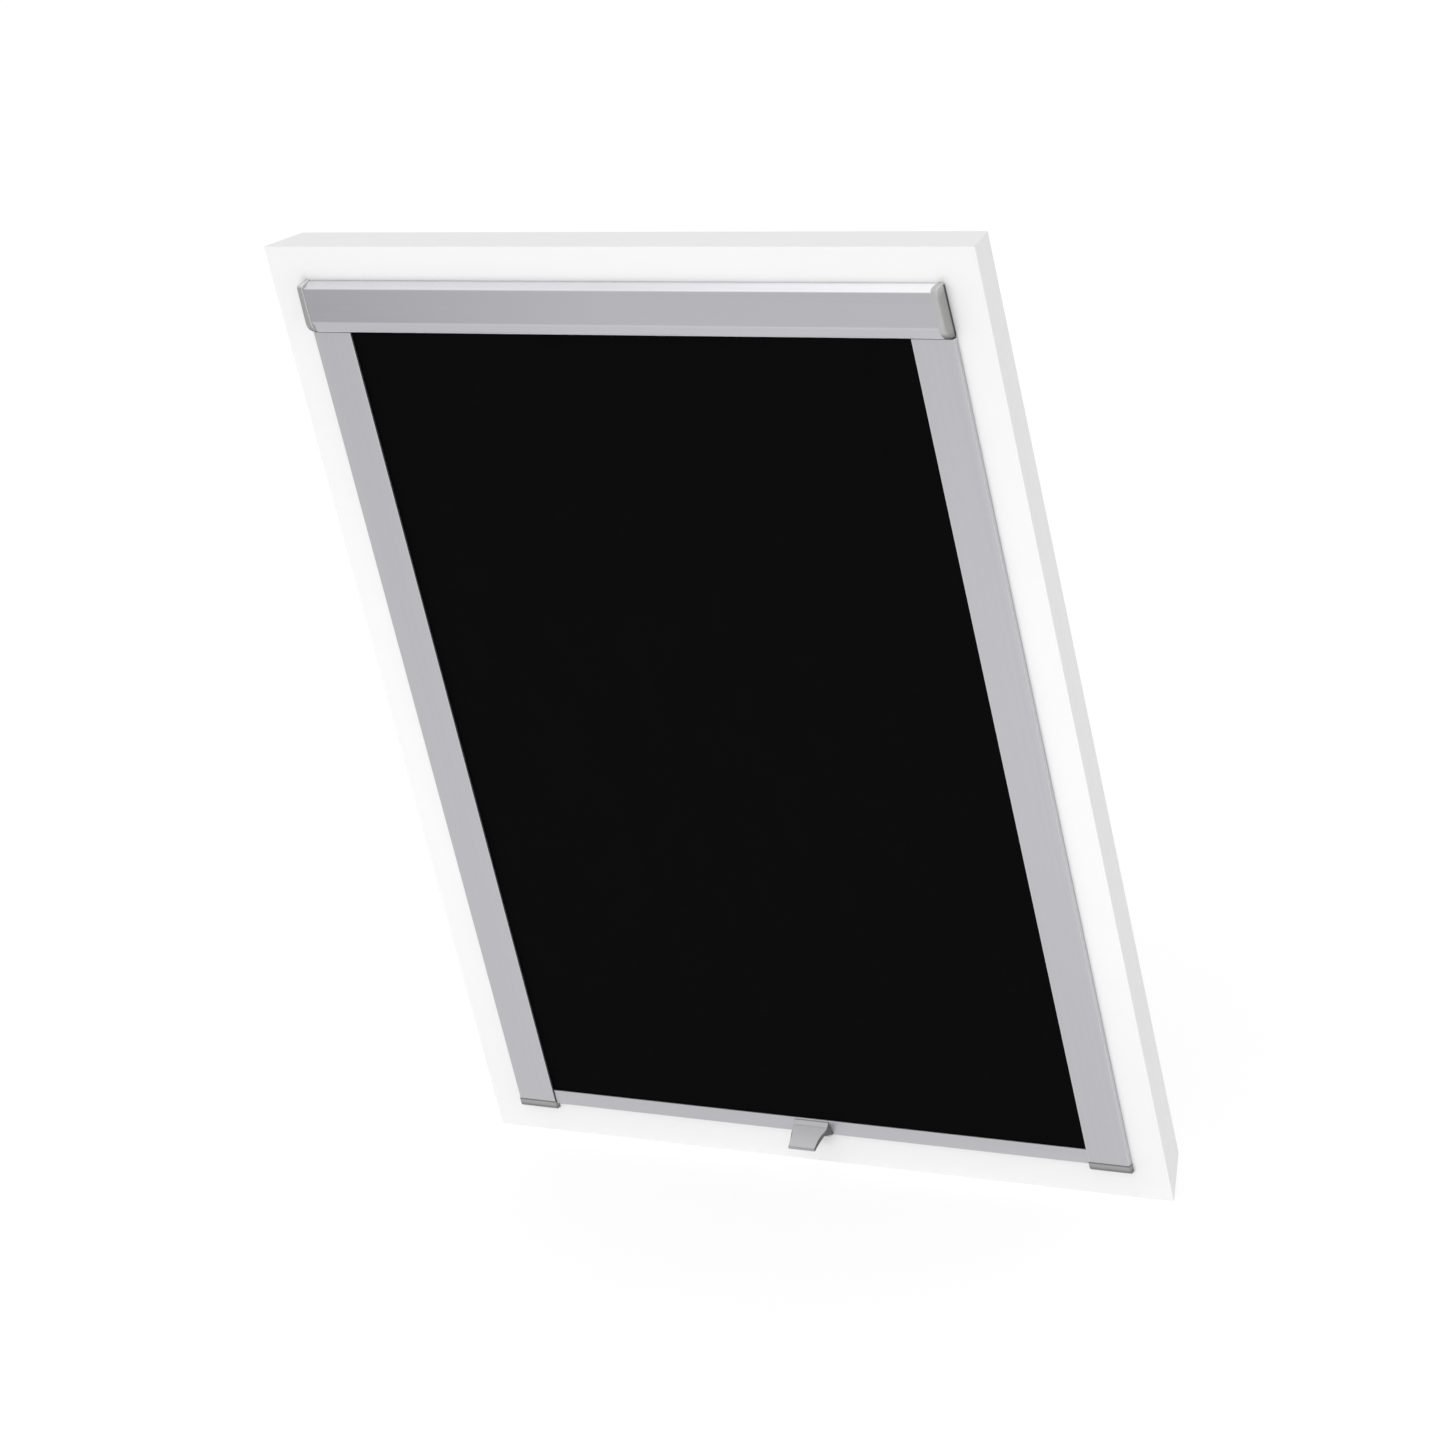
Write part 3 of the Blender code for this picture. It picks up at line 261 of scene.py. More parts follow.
class BlindLight(bpy.types.PropertyGroup):
    """The studio's light levels."""

    sky: FloatProperty(
        name="Sky", description="Level of the light from all round", default=0.89, min=0, max=3
    )
    key: FloatProperty(
        name="Front lamp", description="Power of the large soft lamp in front",
        default=6.0, min=0, max=1000, subtype="POWER",
    )
    low: FloatProperty(
        name="Low lamp", description="Power of the soft lamp that lifts the foot of the frame",
        default=7.8, min=0, max=1000, subtype="POWER",
    )


# Small helpers for modelling by hand


def deselect():
    """Leaves object mode with nothing selected."""
    if bpy.context.object and bpy.context.object.mode != "OBJECT":
        bpy.ops.object.mode_set(mode="OBJECT")
    bpy.ops.object.select_all(action="DESELECT")


def activate(obj):
    """Makes one object the only selected and the active one."""
    deselect()
    obj.select_set(True)
    bpy.context.view_layer.objects.active = obj
    return obj


def settle(obj, name):
    """Names a finished piece and puts its place into its mesh."""
    activate(obj)
    bpy.ops.object.transform_apply(location=True, rotation=True, scale=True)
    obj.name = name
    obj.data.name = name
    return obj


def pick(kind, test):
    """Selects the faces, edges or vertices of the mesh in edit mode that pass a test."""
    bpy.ops.mesh.select_all(action="DESELECT")
    bpy.ops.mesh.select_mode(type={"verts": "VERT", "edges": "EDGE", "faces": "FACE"}[kind])
    bm = bmesh.from_edit_mesh(bpy.context.object.data)
    for item in getattr(bm, kind):
        if test(item):
            item.select_set(True)
    bm.select_flush_mode()
    bmesh.update_edit_mesh(bpy.context.object.data)


def apply_modifier(obj, kind, **values):
    """Adds a modifier with these values and applies it."""
    activate(obj)
    modifier = obj.modifiers.new(kind.title(), kind)
    for key, value in values.items():
        setattr(modifier, key, value)
    bpy.ops.object.modifier_apply(modifier=modifier.name)


def shift(obj, test, by):
    """Moves the vertices that pass a test, to bring a piece up against its neighbour."""
    activate(obj)
    bpy.ops.object.mode_set(mode="EDIT")
    pick("verts", test)
    bpy.ops.transform.translate(value=by)
    bpy.ops.object.mode_set(mode="OBJECT")


def soften(obj, angle=35):
    """Shades a piece smoothly up to an angle, with its flat faces kept flat."""
    activate(obj)
    bpy.ops.object.shade_smooth_by_angle(angle=math.radians(angle))
    apply_modifier(obj, "WEIGHTED_NORMAL", keep_sharp=True, weight=50)


def block(name, x, ys, zs, width):
    """A block with its middle at x, between two places in Y and two in Z."""
    deselect()
    bpy.ops.mesh.primitive_cube_add(
        size=1, location=(x, sum(ys) / 2, sum(zs) / 2),
        scale=(width, abs(ys[1] - ys[0]), abs(zs[1] - zs[0])),
    )
    return settle(bpy.context.object, name)


def twin(obj, name):
    """A copy of a piece with its own mesh."""
    copy = obj.copy()
    copy.data = obj.data.copy()
    copy.name = name
    bpy.context.scene.collection.objects.link(copy)
    return copy


def finish_as(obj, body, material):
    """Gives a new piece its material and its body."""
    obj.data.materials.clear()
    obj.data.materials.append(material)
    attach(obj, body)


def refined(node, body, material, smooth=35, ease=0.0):
    """A finer copy of a frame node: merged, eased along its edges and smoothly shaded."""
    deselect()
    mesh = NODES[node].data.copy()
    piece = bpy.data.objects.new(node + "_fine", mesh)
    bpy.context.scene.collection.objects.link(piece)
    activate(piece)
    bpy.ops.object.mode_set(mode="EDIT")
    bpy.ops.mesh.select_all(action="SELECT")
    bpy.ops.mesh.remove_doubles(threshold=1e-6)
    bpy.ops.mesh.dissolve_limited(angle_limit=math.radians(0.5))
    bpy.ops.object.mode_set(mode="OBJECT")
    if ease:
        apply_modifier(
            piece, "BEVEL", width=ease, segments=3, limit_method="ANGLE",
            angle_limit=math.radians(40), use_clamp_overlap=True,
        )
    soften(piece, smooth)
    settle(piece, node + "_fine")
    finish_as(piece, body, material)
    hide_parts(node)
    return piece


# Finishes


class Finish:
    """A Principled material and the nodes that feed it."""

    def __init__(self, name, colour, roughness, metallic=0.0, specular=0.5):
        self.material = bpy.data.materials.new(name)
        self.material.use_nodes = True
        self.nodes = self.material.node_tree.nodes
        self.links = self.material.node_tree.links
        self.shader = self.nodes["Principled BSDF"]
        self.colour = colour
        self.shader.inputs["Base Color"].default_value = (*colour, 1)
        self.shader.inputs["Roughness"].default_value = roughness
        self.shader.inputs["Metallic"].default_value = metallic
        self.shader.inputs["Specular IOR Level"].default_value = specular

    def node(self, kind, **values):
        """Adds a node and sets its properties and sockets by name."""
        made = self.nodes.new(kind)
        for key, value in values.items():
            if hasattr(made, key):
                setattr(made, key, value)
            else:
                made.inputs[key.replace("_", " ")].default_value = value
        return made

    def link(self, start, end):
        """Joins an output to an input."""
        self.links.new(start, end)

    def place(self, scale=(1, 1, 1)):
        """The object's own coordinates, stretched by a scale."""
        where = self.node("ShaderNodeTexCoord")
        mapping = self.node("ShaderNodeMapping")
        mapping.inputs["Scale"].default_value = scale
        self.link(where.outputs["Object"], mapping.inputs["Vector"])
        return mapping.outputs["Vector"]

    def noise(self, place, scale, detail=3.0, roughness=0.55):
        """Noise from 0 to 1."""
        made = self.node("ShaderNodeTexNoise")
        made.inputs["Scale"].default_value = scale
        made.inputs["Detail"].default_value = detail
        made.inputs["Roughness"].default_value = roughness
        self.link(place, made.inputs["Vector"])
        return made.outputs["Fac"]

    def spread(self, value, low, high, start=0.3, end=0.7):
        """A value taken from one range to another."""
        made = self.node("ShaderNodeMapRange")
        for key, number in (
            ("From Min", start), ("From Max", end), ("To Min", low), ("To Max", high)
        ):
            made.inputs[key].default_value = number
        self.link(value, made.inputs["Value"])
        return made.outputs["Result"]

    def rise(self, value, start, end):
        """0 up to start and 1 from end on."""
        return self.spread(value, 0, 1, start, end)

    def fall(self, value, start, end):
        """1 up to start and 0 from end on."""
        return self.spread(value, 1, 0, start, end)

    def along(self, axis, either_side=False):
        """The object's own coordinate along X, Y or Z; either_side drops its sign."""
        return self.part_of("Object", axis, either_side)

    def product(self, one, other):
        """One value times another."""
        made = self.node("ShaderNodeMath", operation="MULTIPLY")
        self.link(one, made.inputs[0])
        self.link(other, made.inputs[1])
        return made.outputs["Value"]

    def facing(self, axis, either_side=False):
        """How far the surface faces along an axis; either_side drops the sign."""
        return self.part_of("Normal", axis, either_side)

    def part_of(self, output, axis, either_side):
        """One component of a texture coordinate, with or without its sign."""
        where = self.node("ShaderNodeTexCoord")
        parts = self.node("ShaderNodeSeparateXYZ")
        self.link(where.outputs[output], parts.inputs[0])
        if not either_side:
            return parts.outputs[axis]
        size = self.node("ShaderNodeMath", operation="ABSOLUTE")
        self.link(parts.outputs[axis], size.inputs[0])
        return size.outputs["Value"]

    def vary_colour(self, value, low, high, start=0.3, end=0.7):
        """Multiplies the base colour by a factor that goes from low to high with a value."""
        made = self.node("ShaderNodeVectorMath", operation="SCALE")
        base = self.shader.inputs["Base Color"]
        if base.is_linked:
            self.link(base.links[0].from_socket, made.inputs[0])
        else:
            made.inputs[0].default_value = self.colour
        self.link(self.spread(value, low, high, start, end), made.inputs["Scale"])
        self.link(made.outputs["Vector"], base)

    def tone(self, mask, factor):
        """Multiplies the base colour by a factor where a mask is 1."""
        self.vary_colour(mask, 1.0, factor, 0, 1)

    def vary_roughness(self, value, low, high):
        """Spreads the roughness by a value from 0 to 1."""
        self.link(self.spread(value, low, high), self.shader.inputs["Roughness"])

    def bump(self, value, strength, distance):
        """A bump; a second one adds to the first."""
        made = self.node("ShaderNodeBump")
        made.inputs["Strength"].default_value = strength
        made.inputs["Distance"].default_value = distance
        self.link(value, made.inputs["Height"])
        normal = self.shader.inputs["Normal"]
        if normal.is_linked:
            self.link(normal.links[0].from_socket, made.inputs["Normal"])
        self.link(made.outputs["Normal"], normal)


def lacquer(colour):
    """White lacquer on timber, with a faint roller texture."""
    made = Finish("white_lacquer", colour, 0.42)
    place = made.place()
    made.vary_colour(made.noise(place, 9.0), 0.994, 1.004)
    made.vary_roughness(made.noise(place, 60.0), 0.38, 0.48)
    made.bump(made.noise(place, 900.0, 2.0), 0.08, 0.0003)
    made.bump(made.noise(made.place((60, 60, 8)), 1.0, 4.0), 0.05, 0.0004)
    return made.material


def drawn(name, colour, along, roughness=0.36, metallic=0.75):
    """Anodised aluminium with fine die lines along the extrusion, for others to add to."""
    made = Finish(name, colour, roughness, metallic)
    fine = {"X": (4, 2600, 2600), "Z": (2600, 2600, 4)}[along]
    broad = {"X": (1.5, 260, 260), "Z": (260, 260, 1.5)}[along]
    lines = made.noise(made.place(fine), 1.0, 2.0)
    bands = made.noise(made.place(broad), 1.0, 2.0)
    made.vary_colour(bands, 0.975, 1.025)
    made.vary_roughness(bands, roughness - 0.05, roughness + 0.06)
    made.bump(lines, 0.10, 0.00006)
    grain = made.noise(made.place(), 4200.0, 1.0)
    made.bump(grain, 0.05, 0.00004)
    return made


def cover_silver(colour):
    """The cassette cover's anodising with painted light: a painted highlight on the slope, a
    painted reflection on the lower band and under the lip, and painted shade towards the left and
    on the flat top.
    """
    made = drawn("cassette_anodised", colour, "X")
    low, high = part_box("cassette_cover")
    below = made.fall(made.along("Z"), low.z + COVER_BAND[0], low.z + COVER_BAND[1])
    leftward = made.fall(made.along("X"), low.x, 0)
    # Painted reflection on the lower band, stronger to the left
    made.tone(below, COVER_PAINTED_LIGHT["band"])
    made.tone(made.product(below, leftward), COVER_PAINTED_LIGHT["band_left"])
    # Painted highlight on the slope, strongest to the right
    slope = made.rise(made.facing("Z"), *SLOPE_FACING)
    rightward = made.rise(made.along("X"), 0, high.x)
    made.tone(slope, COVER_PAINTED_LIGHT["slope"])
    made.tone(made.product(slope, rightward), COVER_PAINTED_LIGHT["slope_right"])
    made.tone(made.product(slope, leftward), COVER_PAINTED_LIGHT["slope_left"])
    # Painted reflection under the lip, painted shade to the left and on the flat top
    made.vary_colour(made.facing("Z"), COVER_PAINTED_LIGHT["lip"], 1.0, *LIP_FACING)
    made.vary_colour(made.along("X"), COVER_PAINTED_LIGHT["left"], 1.0, low.x, 0)
    made.vary_colour(made.facing("Z"), 1.0, COVER_PAINTED_LIGHT["top"], *TOP_FACING)
    return made.material


def rail_silver(colour):
    """The rail covers' anodising with painted light: a painted highlight along the inner edge,
    painted shade on the inner side and a lighter outer side, also painted.
    """
    made = drawn("rail_anodised", colour, "Z")
    low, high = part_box("rail_cover_right")
    across = made.along("X", either_side=True)
    # Painted highlight along the inner edge
    made.vary_colour(
        across, RAIL_PAINTED_LIGHT["inner_line"], 1.0, low.x + RAIL_LINE[0], low.x + RAIL_LINE[1]
    )
    # Painted light on the outer side and painted shade on the inner side
    outer = made.rise(across, high.x + RAIL_OUTER_SIDE[0], high.x + RAIL_OUTER_SIDE[1])
    inner = made.fall(across, low.x + RAIL_INNER_SIDE[0], low.x + RAIL_INNER_SIDE[1])
    for part, name in ((outer, "outer_side"), (inner, "inner_side")):
        side = made.product(part, made.facing("X", either_side=True))
        made.vary_colour(side, 1.0, RAIL_PAINTED_LIGHT[name], *SIDE_FACING)
    return made.material


def end_cap_grey(colour):
    """The cassette caps' moulding with painted light: painted shade on the outer sides, underside,
    foot and left cap, painted highlights on the front, top, crown and inner faces, and a painted
    shadow line where it meets the frame.
    """
    made = grained("end_cap_moulding", colour, metallic=0.6)
    low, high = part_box("cassette_end_cap_right")
    leftward = made.fall(made.along("X"), *MIDDLE)
    rightward = made.rise(made.along("X"), *MIDDLE)
    outward = made.product(made.along("X"), made.facing("X"))
    # Painted shade on the outer sides, underside and left cap; painted highlights on the inner
    # faces and the front
    made.vary_colour(outward, 1.0, CAP_PAINTED_LIGHT["outer"], *CAP_OUTER)
    made.vary_colour(outward, CAP_PAINTED_LIGHT["inner"], 1.0, *CAP_INNER)
    made.vary_colour(made.facing("Y"), CAP_PAINTED_LIGHT["front"], 1.0, *CAP_FRONT_FACING)
    made.vary_colour(made.facing("Z"), CAP_PAINTED_LIGHT["under"], 1.0, *CAP_UNDER_FACING)
    made.vary_colour(made.along("X"), CAP_PAINTED_LIGHT["left"], 1.0, *MIDDLE)
    # Painted highlight on the top, stronger on the left cap, and on the left cap's inner faces
    upper = made.rise(made.facing("Z"), *CAP_UPPER_FACING)
    made.tone(upper, CAP_PAINTED_LIGHT["upper"])
    made.tone(made.product(upper, leftward), CAP_PAINTED_LIGHT["upper_left"])
    inner = made.rise(made.facing("X"), *CAP_INNER_FACING)
    made.tone(made.product(inner, leftward), CAP_PAINTED_LIGHT["inner_left"])
    # Painted highlight on the right cap's crown and painted shade at its foot
    outer = made.rise(outward, *CAP_CROWN_SIDE)
    crown = made.rise(made.along("Z"), high.z + CAP_CROWN[0], high.z + CAP_CROWN[1])
    made.tone(made.product(made.product(crown, outer), rightward), CAP_PAINTED_LIGHT["crown"])
    foot = made.fall(made.along("Z"), low.z + CAP_FOOT[0], low.z + CAP_FOOT[1])
    made.tone(made.product(foot, rightward), CAP_PAINTED_LIGHT["foot"])
    # A painted shadow line at the back edge, where the cap meets the frame
    joint = made.rise(made.along("Y"), FRAME_FRONT + CAP_JOINT[0], FRAME_FRONT + CAP_JOINT[1])
    beside = made.fall(made.facing("Z"), *CAP_JOINT_FACING)
    made.tone(made.product(joint, beside), CAP_PAINTED_LIGHT["joint"])
    return made.material


def rail_cap_grey(colour):
    """The rail end caps' moulding with painted shade that darkens in steps towards its foot, a
    painted highlight line near its top, and a darker top.
    """
    made = grained("rail_cap_moulding", colour, 0.55)
    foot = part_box("rail_end_cap_right")[0].z
    # Painted shade and highlight in steps up the cap
    for below, above, start, end in RAIL_CAP_PAINTED_STEPS:
        made.vary_colour(made.along("Z"), below, above, foot + start, foot + end)
    return made.material


def pull_grey(colour):
    """The finger pull's moulding with painted light: painted shade on its sides and lip, and on its
    upper faces from the crease back, darkest in a line at the crease.
    """
    made = grained("pull_moulding", colour)
    sideways = made.facing("X", either_side=True)
    # Painted shade on the sides
    made.vary_colour(sideways, 1.0, PULL_PAINTED_LIGHT["sides"], *PULL_SIDE_FACING)
    upper = made.rise(made.facing("Z"), *PULL_UPPER_FACING)
    crease = pull_back() - CREASE[0]
    # Painted shade on the upper faces behind the crease, darkest in a line at it
    for line, name in ((PULL_HEAD_LINE, "head"), (PULL_CREASE_LINE, "crease")):
        behind = made.rise(made.along("Y"), crease + line[0], crease + line[1])
        made.tone(made.product(behind, upper), PULL_PAINTED_LIGHT[name])
    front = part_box("pull_handle")[0].y
    # Painted shade on the lip's front
    made.vary_colour(
        made.along("Y"), PULL_PAINTED_LIGHT["lip"], 1.0, front + PULL_LIP[0], front + PULL_LIP[1]
    )
    return made.material


def grained(name, colour, roughness=0.5, metallic=0.0):
    """Moulded plastic with a fine spark-eroded grain, for others to add to."""
    made = Finish(name, colour, roughness, metallic)
    place = made.place()
    made.vary_colour(made.noise(place, 35.0), 0.985, 1.015)
    made.vary_roughness(made.noise(place, 300.0), roughness - 0.05, roughness + 0.06)
    made.bump(made.noise(place, 2600.0, 2.0, 0.6), 0.16, 0.00012)
    return made


def plated(name, colour, roughness=0.32):
    """Plated or drawn steel with small differences in gloss."""
    made = Finish(name, colour, roughness, 1.0)
    place = made.place()
    made.vary_colour(made.noise(place, 240.0), 0.93, 1.05)
    made.vary_roughness(made.noise(place, 500.0), roughness - 0.07, roughness + 0.12)
    made.bump(made.noise(place, 3000.0, 1.0), 0.10, 0.00005)
    return made.material


def blackout(colour):
    """Coated blackout cloth: a fine plain weave under a matt coat."""
    made = Finish("blackout_weave", colour, 0.82, specular=0.02)
    place = made.place()
    threads = []
    for direction in ("X", "Z"):
        wave = made.node("ShaderNodeTexWave", wave_type="BANDS", bands_direction=direction)
        wave.inputs["Scale"].default_value = 640.0
        wave.inputs["Distortion"].default_value = 0.6
        wave.inputs["Detail Scale"].default_value = 2.0
        made.link(place, wave.inputs["Vector"])
        threads.append(wave.outputs["Fac"])
    weave = made.node("ShaderNodeMath", operation="MAXIMUM")
    made.link(threads[0], weave.inputs[0])
    made.link(threads[1], weave.inputs[1])
    made.bump(weave.outputs["Value"], 0.18, 0.00008)
    made.vary_colour(made.noise(made.place((1, 1, 0.4)), 22.0), 0.93, 1.07)
    made.vary_roughness(made.noise(place, 120.0), 0.78, 0.86)
    return made.material


def fibrous(name, colour, scale=1600.0):
    """Felt or pile: matt fibres."""
    made = Finish(name, colour, 0.95, specular=0.15)
    made.shader.inputs["Sheen Weight"].default_value = 0.15
    made.shader.inputs["Sheen Roughness"].default_value = 0.5
    place = made.place()
    fibres = made.noise(place, scale, 4.0, 0.7)
    made.vary_colour(fibres, 0.75, 1.3)
    made.bump(fibres, 0.5, 0.0002)
    return made.material


FINISHES = {}


def finishes():
    """Every finish by name, made once from the scene's colours."""
    if not FINISHES:
        colours = bpy.context.scene.blind_colours
        FINISHES.update(
            white_paint=lacquer(colours.paint),
            cover_silver=cover_silver(colours.cassette),
            rail_silver=rail_silver(colours.silver),
            bar_silver=drawn("bar_anodised", colours.silver, "X").material,
            raw_along_x=drawn("plain_extrusion_across", colours.raw, "X", 0.42, 0.9).material,
            raw_along_z=drawn("plain_extrusion_upright", colours.raw, "Z", 0.42, 0.9).material,
            end_cap_grey=end_cap_grey(colours.end_cap),
            rail_cap_grey=rail_cap_grey(colours.dark),
            pull_grey=pull_grey(colours.pull),
            dark_plastic=grained("dark_moulding", colours.dark, 0.55).material,
            zinc_steel=plated("zinc_plate", colours.zinc),
            spring_steel=plated("spring_wire", colours.spring, 0.30),
            blackout_cloth=blackout(colours.cloth),
            black_pile=fibrous("rail_pile", colours.pile),
            felt=fibrous("brake_felt", colours.felt, 900.0),
        )
    return FINISHES


def dress(node, finish):
    """Gives a node of the frame its finish."""
    for slot in NODES[node].material_slots:
        slot.material = finishes()[finish]


class BLIND_OT_mounting_frame(bpy.types.Operator):
    """Lacquer the mounting frame"""

    bl_idname = "blind.mounting_frame"
    bl_label = "Mounting frame"

    def execute(self, context):
        refined("mounting_frame", "root", finishes()["white_paint"], ease=0.0007)
        return {"FINISHED"}


class BLIND_OT_cassette(bpy.types.Operator):
    """Finish the cassette: its cover, back, end caps, brackets and screws"""

    bl_idname = "blind.cassette"
    bl_label = "Cassette"

    def execute(self, context):
        made = finishes()
        cover = refined(
            "cassette_cover", "root", made["cover_silver"], ease=0.0002
        )
        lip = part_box("cassette_cover")[0].z + COVER_LIP
        shift(cover, lambda vert: vert.co.z < lip, (0, 0, -COVER_OVERLAP))
        dress("cassette_back", "raw_along_x")
        for side, word in SIDES:
            cap = refined(
                "cassette_end_cap_" + word, "root", made["end_cap_grey"],
                ease=0.0004,
            )
            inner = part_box("cassette_cover")[1].x + GAP
            shift(
                cap, lambda vert: abs(abs(vert.co.x) - inner) < 2 * NEAR,
                (-side * CAP_OVERLAP, 0, 0),
            )
            dress("roller_bracket_" + word, "zinc_steel")
            for number in (1, 2):
                dress(f"roller_bracket_{word}_screw_{number}", "zinc_steel")
        for number in (1, 2, 3):
            dress(f"cassette_screw_{number}", "zinc_steel")
        return {"FINISHED"}


class BLIND_OT_roller(bpy.types.Operator):
    """Finish the roller, its plugs, spindle and spring, and wind the cloth on it"""

    bl_idname = "blind.roller"
    bl_label = "Roller"

    def execute(self, context):
        made = finishes()
        refined("roller_tube", "roller", made["raw_along_x"])
        for node in ("tube_plug_left", "tube_plug_right", "spring_plug"):
            refined(node, "roller", made["dark_plastic"])
        for node in ("spring_spindle", "idle_pin"):
            refined(node, "root", made["zinc_steel"])
        refined("torsion_spring", "root", made["spring_steel"], smooth=80)
        wound = wound_cloth(context.scene.blind_sizes)
        finish_as(wound, "roller", made["blackout_cloth"])
        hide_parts("cloth_roll")
        return {"FINISHED"}


def wound_cloth(sizes):
    """The cloth left on the tube: one strip wound as a spiral."""
    low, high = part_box("cloth_roll")
    centre = (low + high) / 2
    outer = (high.z - low.z) / 2
    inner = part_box("roller_tube")[1].z - centre.z + sizes.cloth_thickness
    count = sizes.wound_turns * STEPS_PER_TURN
    start = inner + sizes.cloth_thickness / 2
    end = outer - sizes.cloth_thickness / 2
    points, faces = [], []
    for i in range(count + 1):
        radius = start + (end - start) * i / count
        turn = -2 * math.pi * i / STEPS_PER_TURN
        y = centre.y - radius * math.cos(turn)
        z = centre.z - radius * math.sin(turn)
        points += [(low.x, y, z), (high.x, y, z)]
        if i:
            faces.append((2 * i - 2, 2 * i - 1, 2 * i + 1, 2 * i))
    mesh = bpy.data.meshes.new("wound_cloth")
    mesh.from_pydata(points, [], faces)
    roll = bpy.data.objects.new("wound_cloth", mesh)
    bpy.context.scene.collection.objects.link(roll)
    apply_modifier(roll, "SOLIDIFY", thickness=sizes.cloth_thickness, offset=0.0)
    activate(roll)
    bpy.ops.object.shade_smooth_by_angle(angle=math.radians(40))
    return roll


class BLIND_OT_side_rails(bpy.types.Operator):
    """Finish the side rails: bases, covers, end caps, screws and brush seals"""

    bl_idname = "blind.side_rails"
    bl_label = "Side rails"

    def execute(self, context):
        made = finishes()
        for _, word in SIDES:
            dress("rail_base_" + word, "raw_along_z")
            cover = refined(
                "rail_cover_" + word, "root", made["rail_silver"], ease=0.0002
            )
            shift(cover, lambda vert: vert.co.z > RAIL_TOP - RAIL_END, (0, 0, COVER_OVERLAP))
            refined(
                "rail_end_cap_" + word, "root", made["rail_cap_grey"], ease=0.0003
            )
            for number in (1, 2, 3):
                dress(f"rail_screw_{word}_{number}", "zinc_steel")
        pile_seals(context.scene.blind_sizes)
        return {"FINISHED"}


def pile_seals(sizes):
    """The brush seals: a woven backing with tufts of pile, made once and copied."""
    low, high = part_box("rail_seal_left")
    middle = (low + high) / 2
    backing = block(
        "pile_backing", middle.x, (low.y, low.y + sizes.pile_backing), (low.z, high.z),
        high.x - low.x,
    )
    count = int((high.z - low.z) / sizes.pile_pitch)
    pitch = (high.z - low.z) / count
    tuft = block(
        "pile_tufts", middle.x, (low.y + sizes.pile_backing, high.y),
        (low.z + TUFT_SPAN[0] * pitch, low.z + TUFT_SPAN[1] * pitch), high.x - low.x,
    )
    bpy.ops.object.mode_set(mode="EDIT")
    pick("faces", lambda face: face.normal.y > 0.9)
    bpy.ops.transform.resize(
        value=TUFT_TIP, center_override=(middle.x, high.y, low.z + pitch / 2)
    )
    bpy.ops.object.mode_set(mode="OBJECT")
    apply_modifier(
        tuft, "ARRAY", count=count, use_relative_offset=False, use_constant_offset=True,
        constant_offset_displace=(0, 0, pitch),
    )
    backing.select_set(True)
    tuft.select_set(True)
    bpy.context.view_layer.objects.active = backing
    bpy.ops.object.join()
    for side, word in SIDES:
        seal = backing if side < 0 else twin(backing, "pile_seal_" + word)
        if side > 0:
            seal.location.x = -2 * middle.x
        settle(seal, "pile_seal_" + word)
        finish_as(seal, "root", finishes()["black_pile"])
        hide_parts("rail_seal_" + word)


class BLIND_OT_bottom_bar(bpy.types.Operator):
    """Finish the bottom bar, its spline, gliders and brake pads"""

    bl_idname = "blind.bottom_bar"
    bl_label = "Bottom bar"

    def execute(self, context):
        made = finishes()
        refined("bottom_bar", "bar", made["bar_silver"])
        refined("hem_spline", "bar", made["dark_plastic"])
        for _, word in SIDES:
            refined("glider_" + word, "bar", made["dark_plastic"])
        brake_pads()
        return {"FINISHED"}


def brake_pads():
    """The felt brake pads: crowned blocks with rounded edges, made once and copied."""
    low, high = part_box("brake_pad_left")
    crown = (high.y - low.y) * PAD_CROWN_SHARE
    pad = block(
        "brake_felt", (low.x + high.x) / 2, (low.y + crown, high.y - crown),
        (low.z, high.z), high.x - low.x,
    )
    bpy.ops.object.mode_set(mode="EDIT")
    for facing in (-1, 1):
        pick("faces", lambda face: face.normal.y * facing > 0.9)
        bpy.ops.mesh.inset(thickness=(high.z - low.z) * PAD_INSET_SHARE)
        bpy.ops.transform.translate(value=(0, facing * crown, 0))
    bpy.ops.object.mode_set(mode="OBJECT")
    apply_modifier(
        pad, "BEVEL", width=crown * 2, segments=3, limit_method="ANGLE",
        angle_limit=math.radians(5),
    )
    for side, word in SIDES:
        piece = pad if side < 0 else twin(pad, "brake_felt_" + word)
        if side > 0:
            piece.location.x = -(low.x + high.x)
        settle(piece, "brake_felt_" + word)
        soften(piece, 50)
        finish_as(piece, "bar", finishes()["felt"])
        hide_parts("brake_pad_" + word)


class BLIND_OT_finger_pull(bpy.types.Operator):
    """Model the finger pull on the bottom bar"""

    bl_idname = "blind.finger_pull"
    bl_label = "Finger pull"

    def execute(self, context):
        pull = pull_plate(context.scene.blind_sizes)
        for part in (pull_base(), pull_cheek(-1), pull_cheek(1)):
            apply_modifier(pull, "BOOLEAN", operation="UNION", solver="EXACT", object=part)
            bpy.data.objects.remove(part)
        apply_modifier(pull, "REMESH", mode="VOXEL", voxel_size=BLEND_VOXEL)
        apply_modifier(pull, "SMOOTH", factor=BLEND_SMOOTHING, iterations=BLEND_PASSES)
        apply_modifier(pull, "DECIMATE", ratio=BLEND_SHARE_KEPT)
        activate(pull)
        bpy.ops.object.shade_smooth_by_angle(angle=math.radians(50))
        finish_as(pull, "bar", finishes()["pull_grey"])
        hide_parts("pull_handle")
        return {"FINISHED"}


def pull_back():
    """Where the finger pull's back lies, just proud of the bar's face."""
    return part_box("bottom_bar")[0].y - GAP


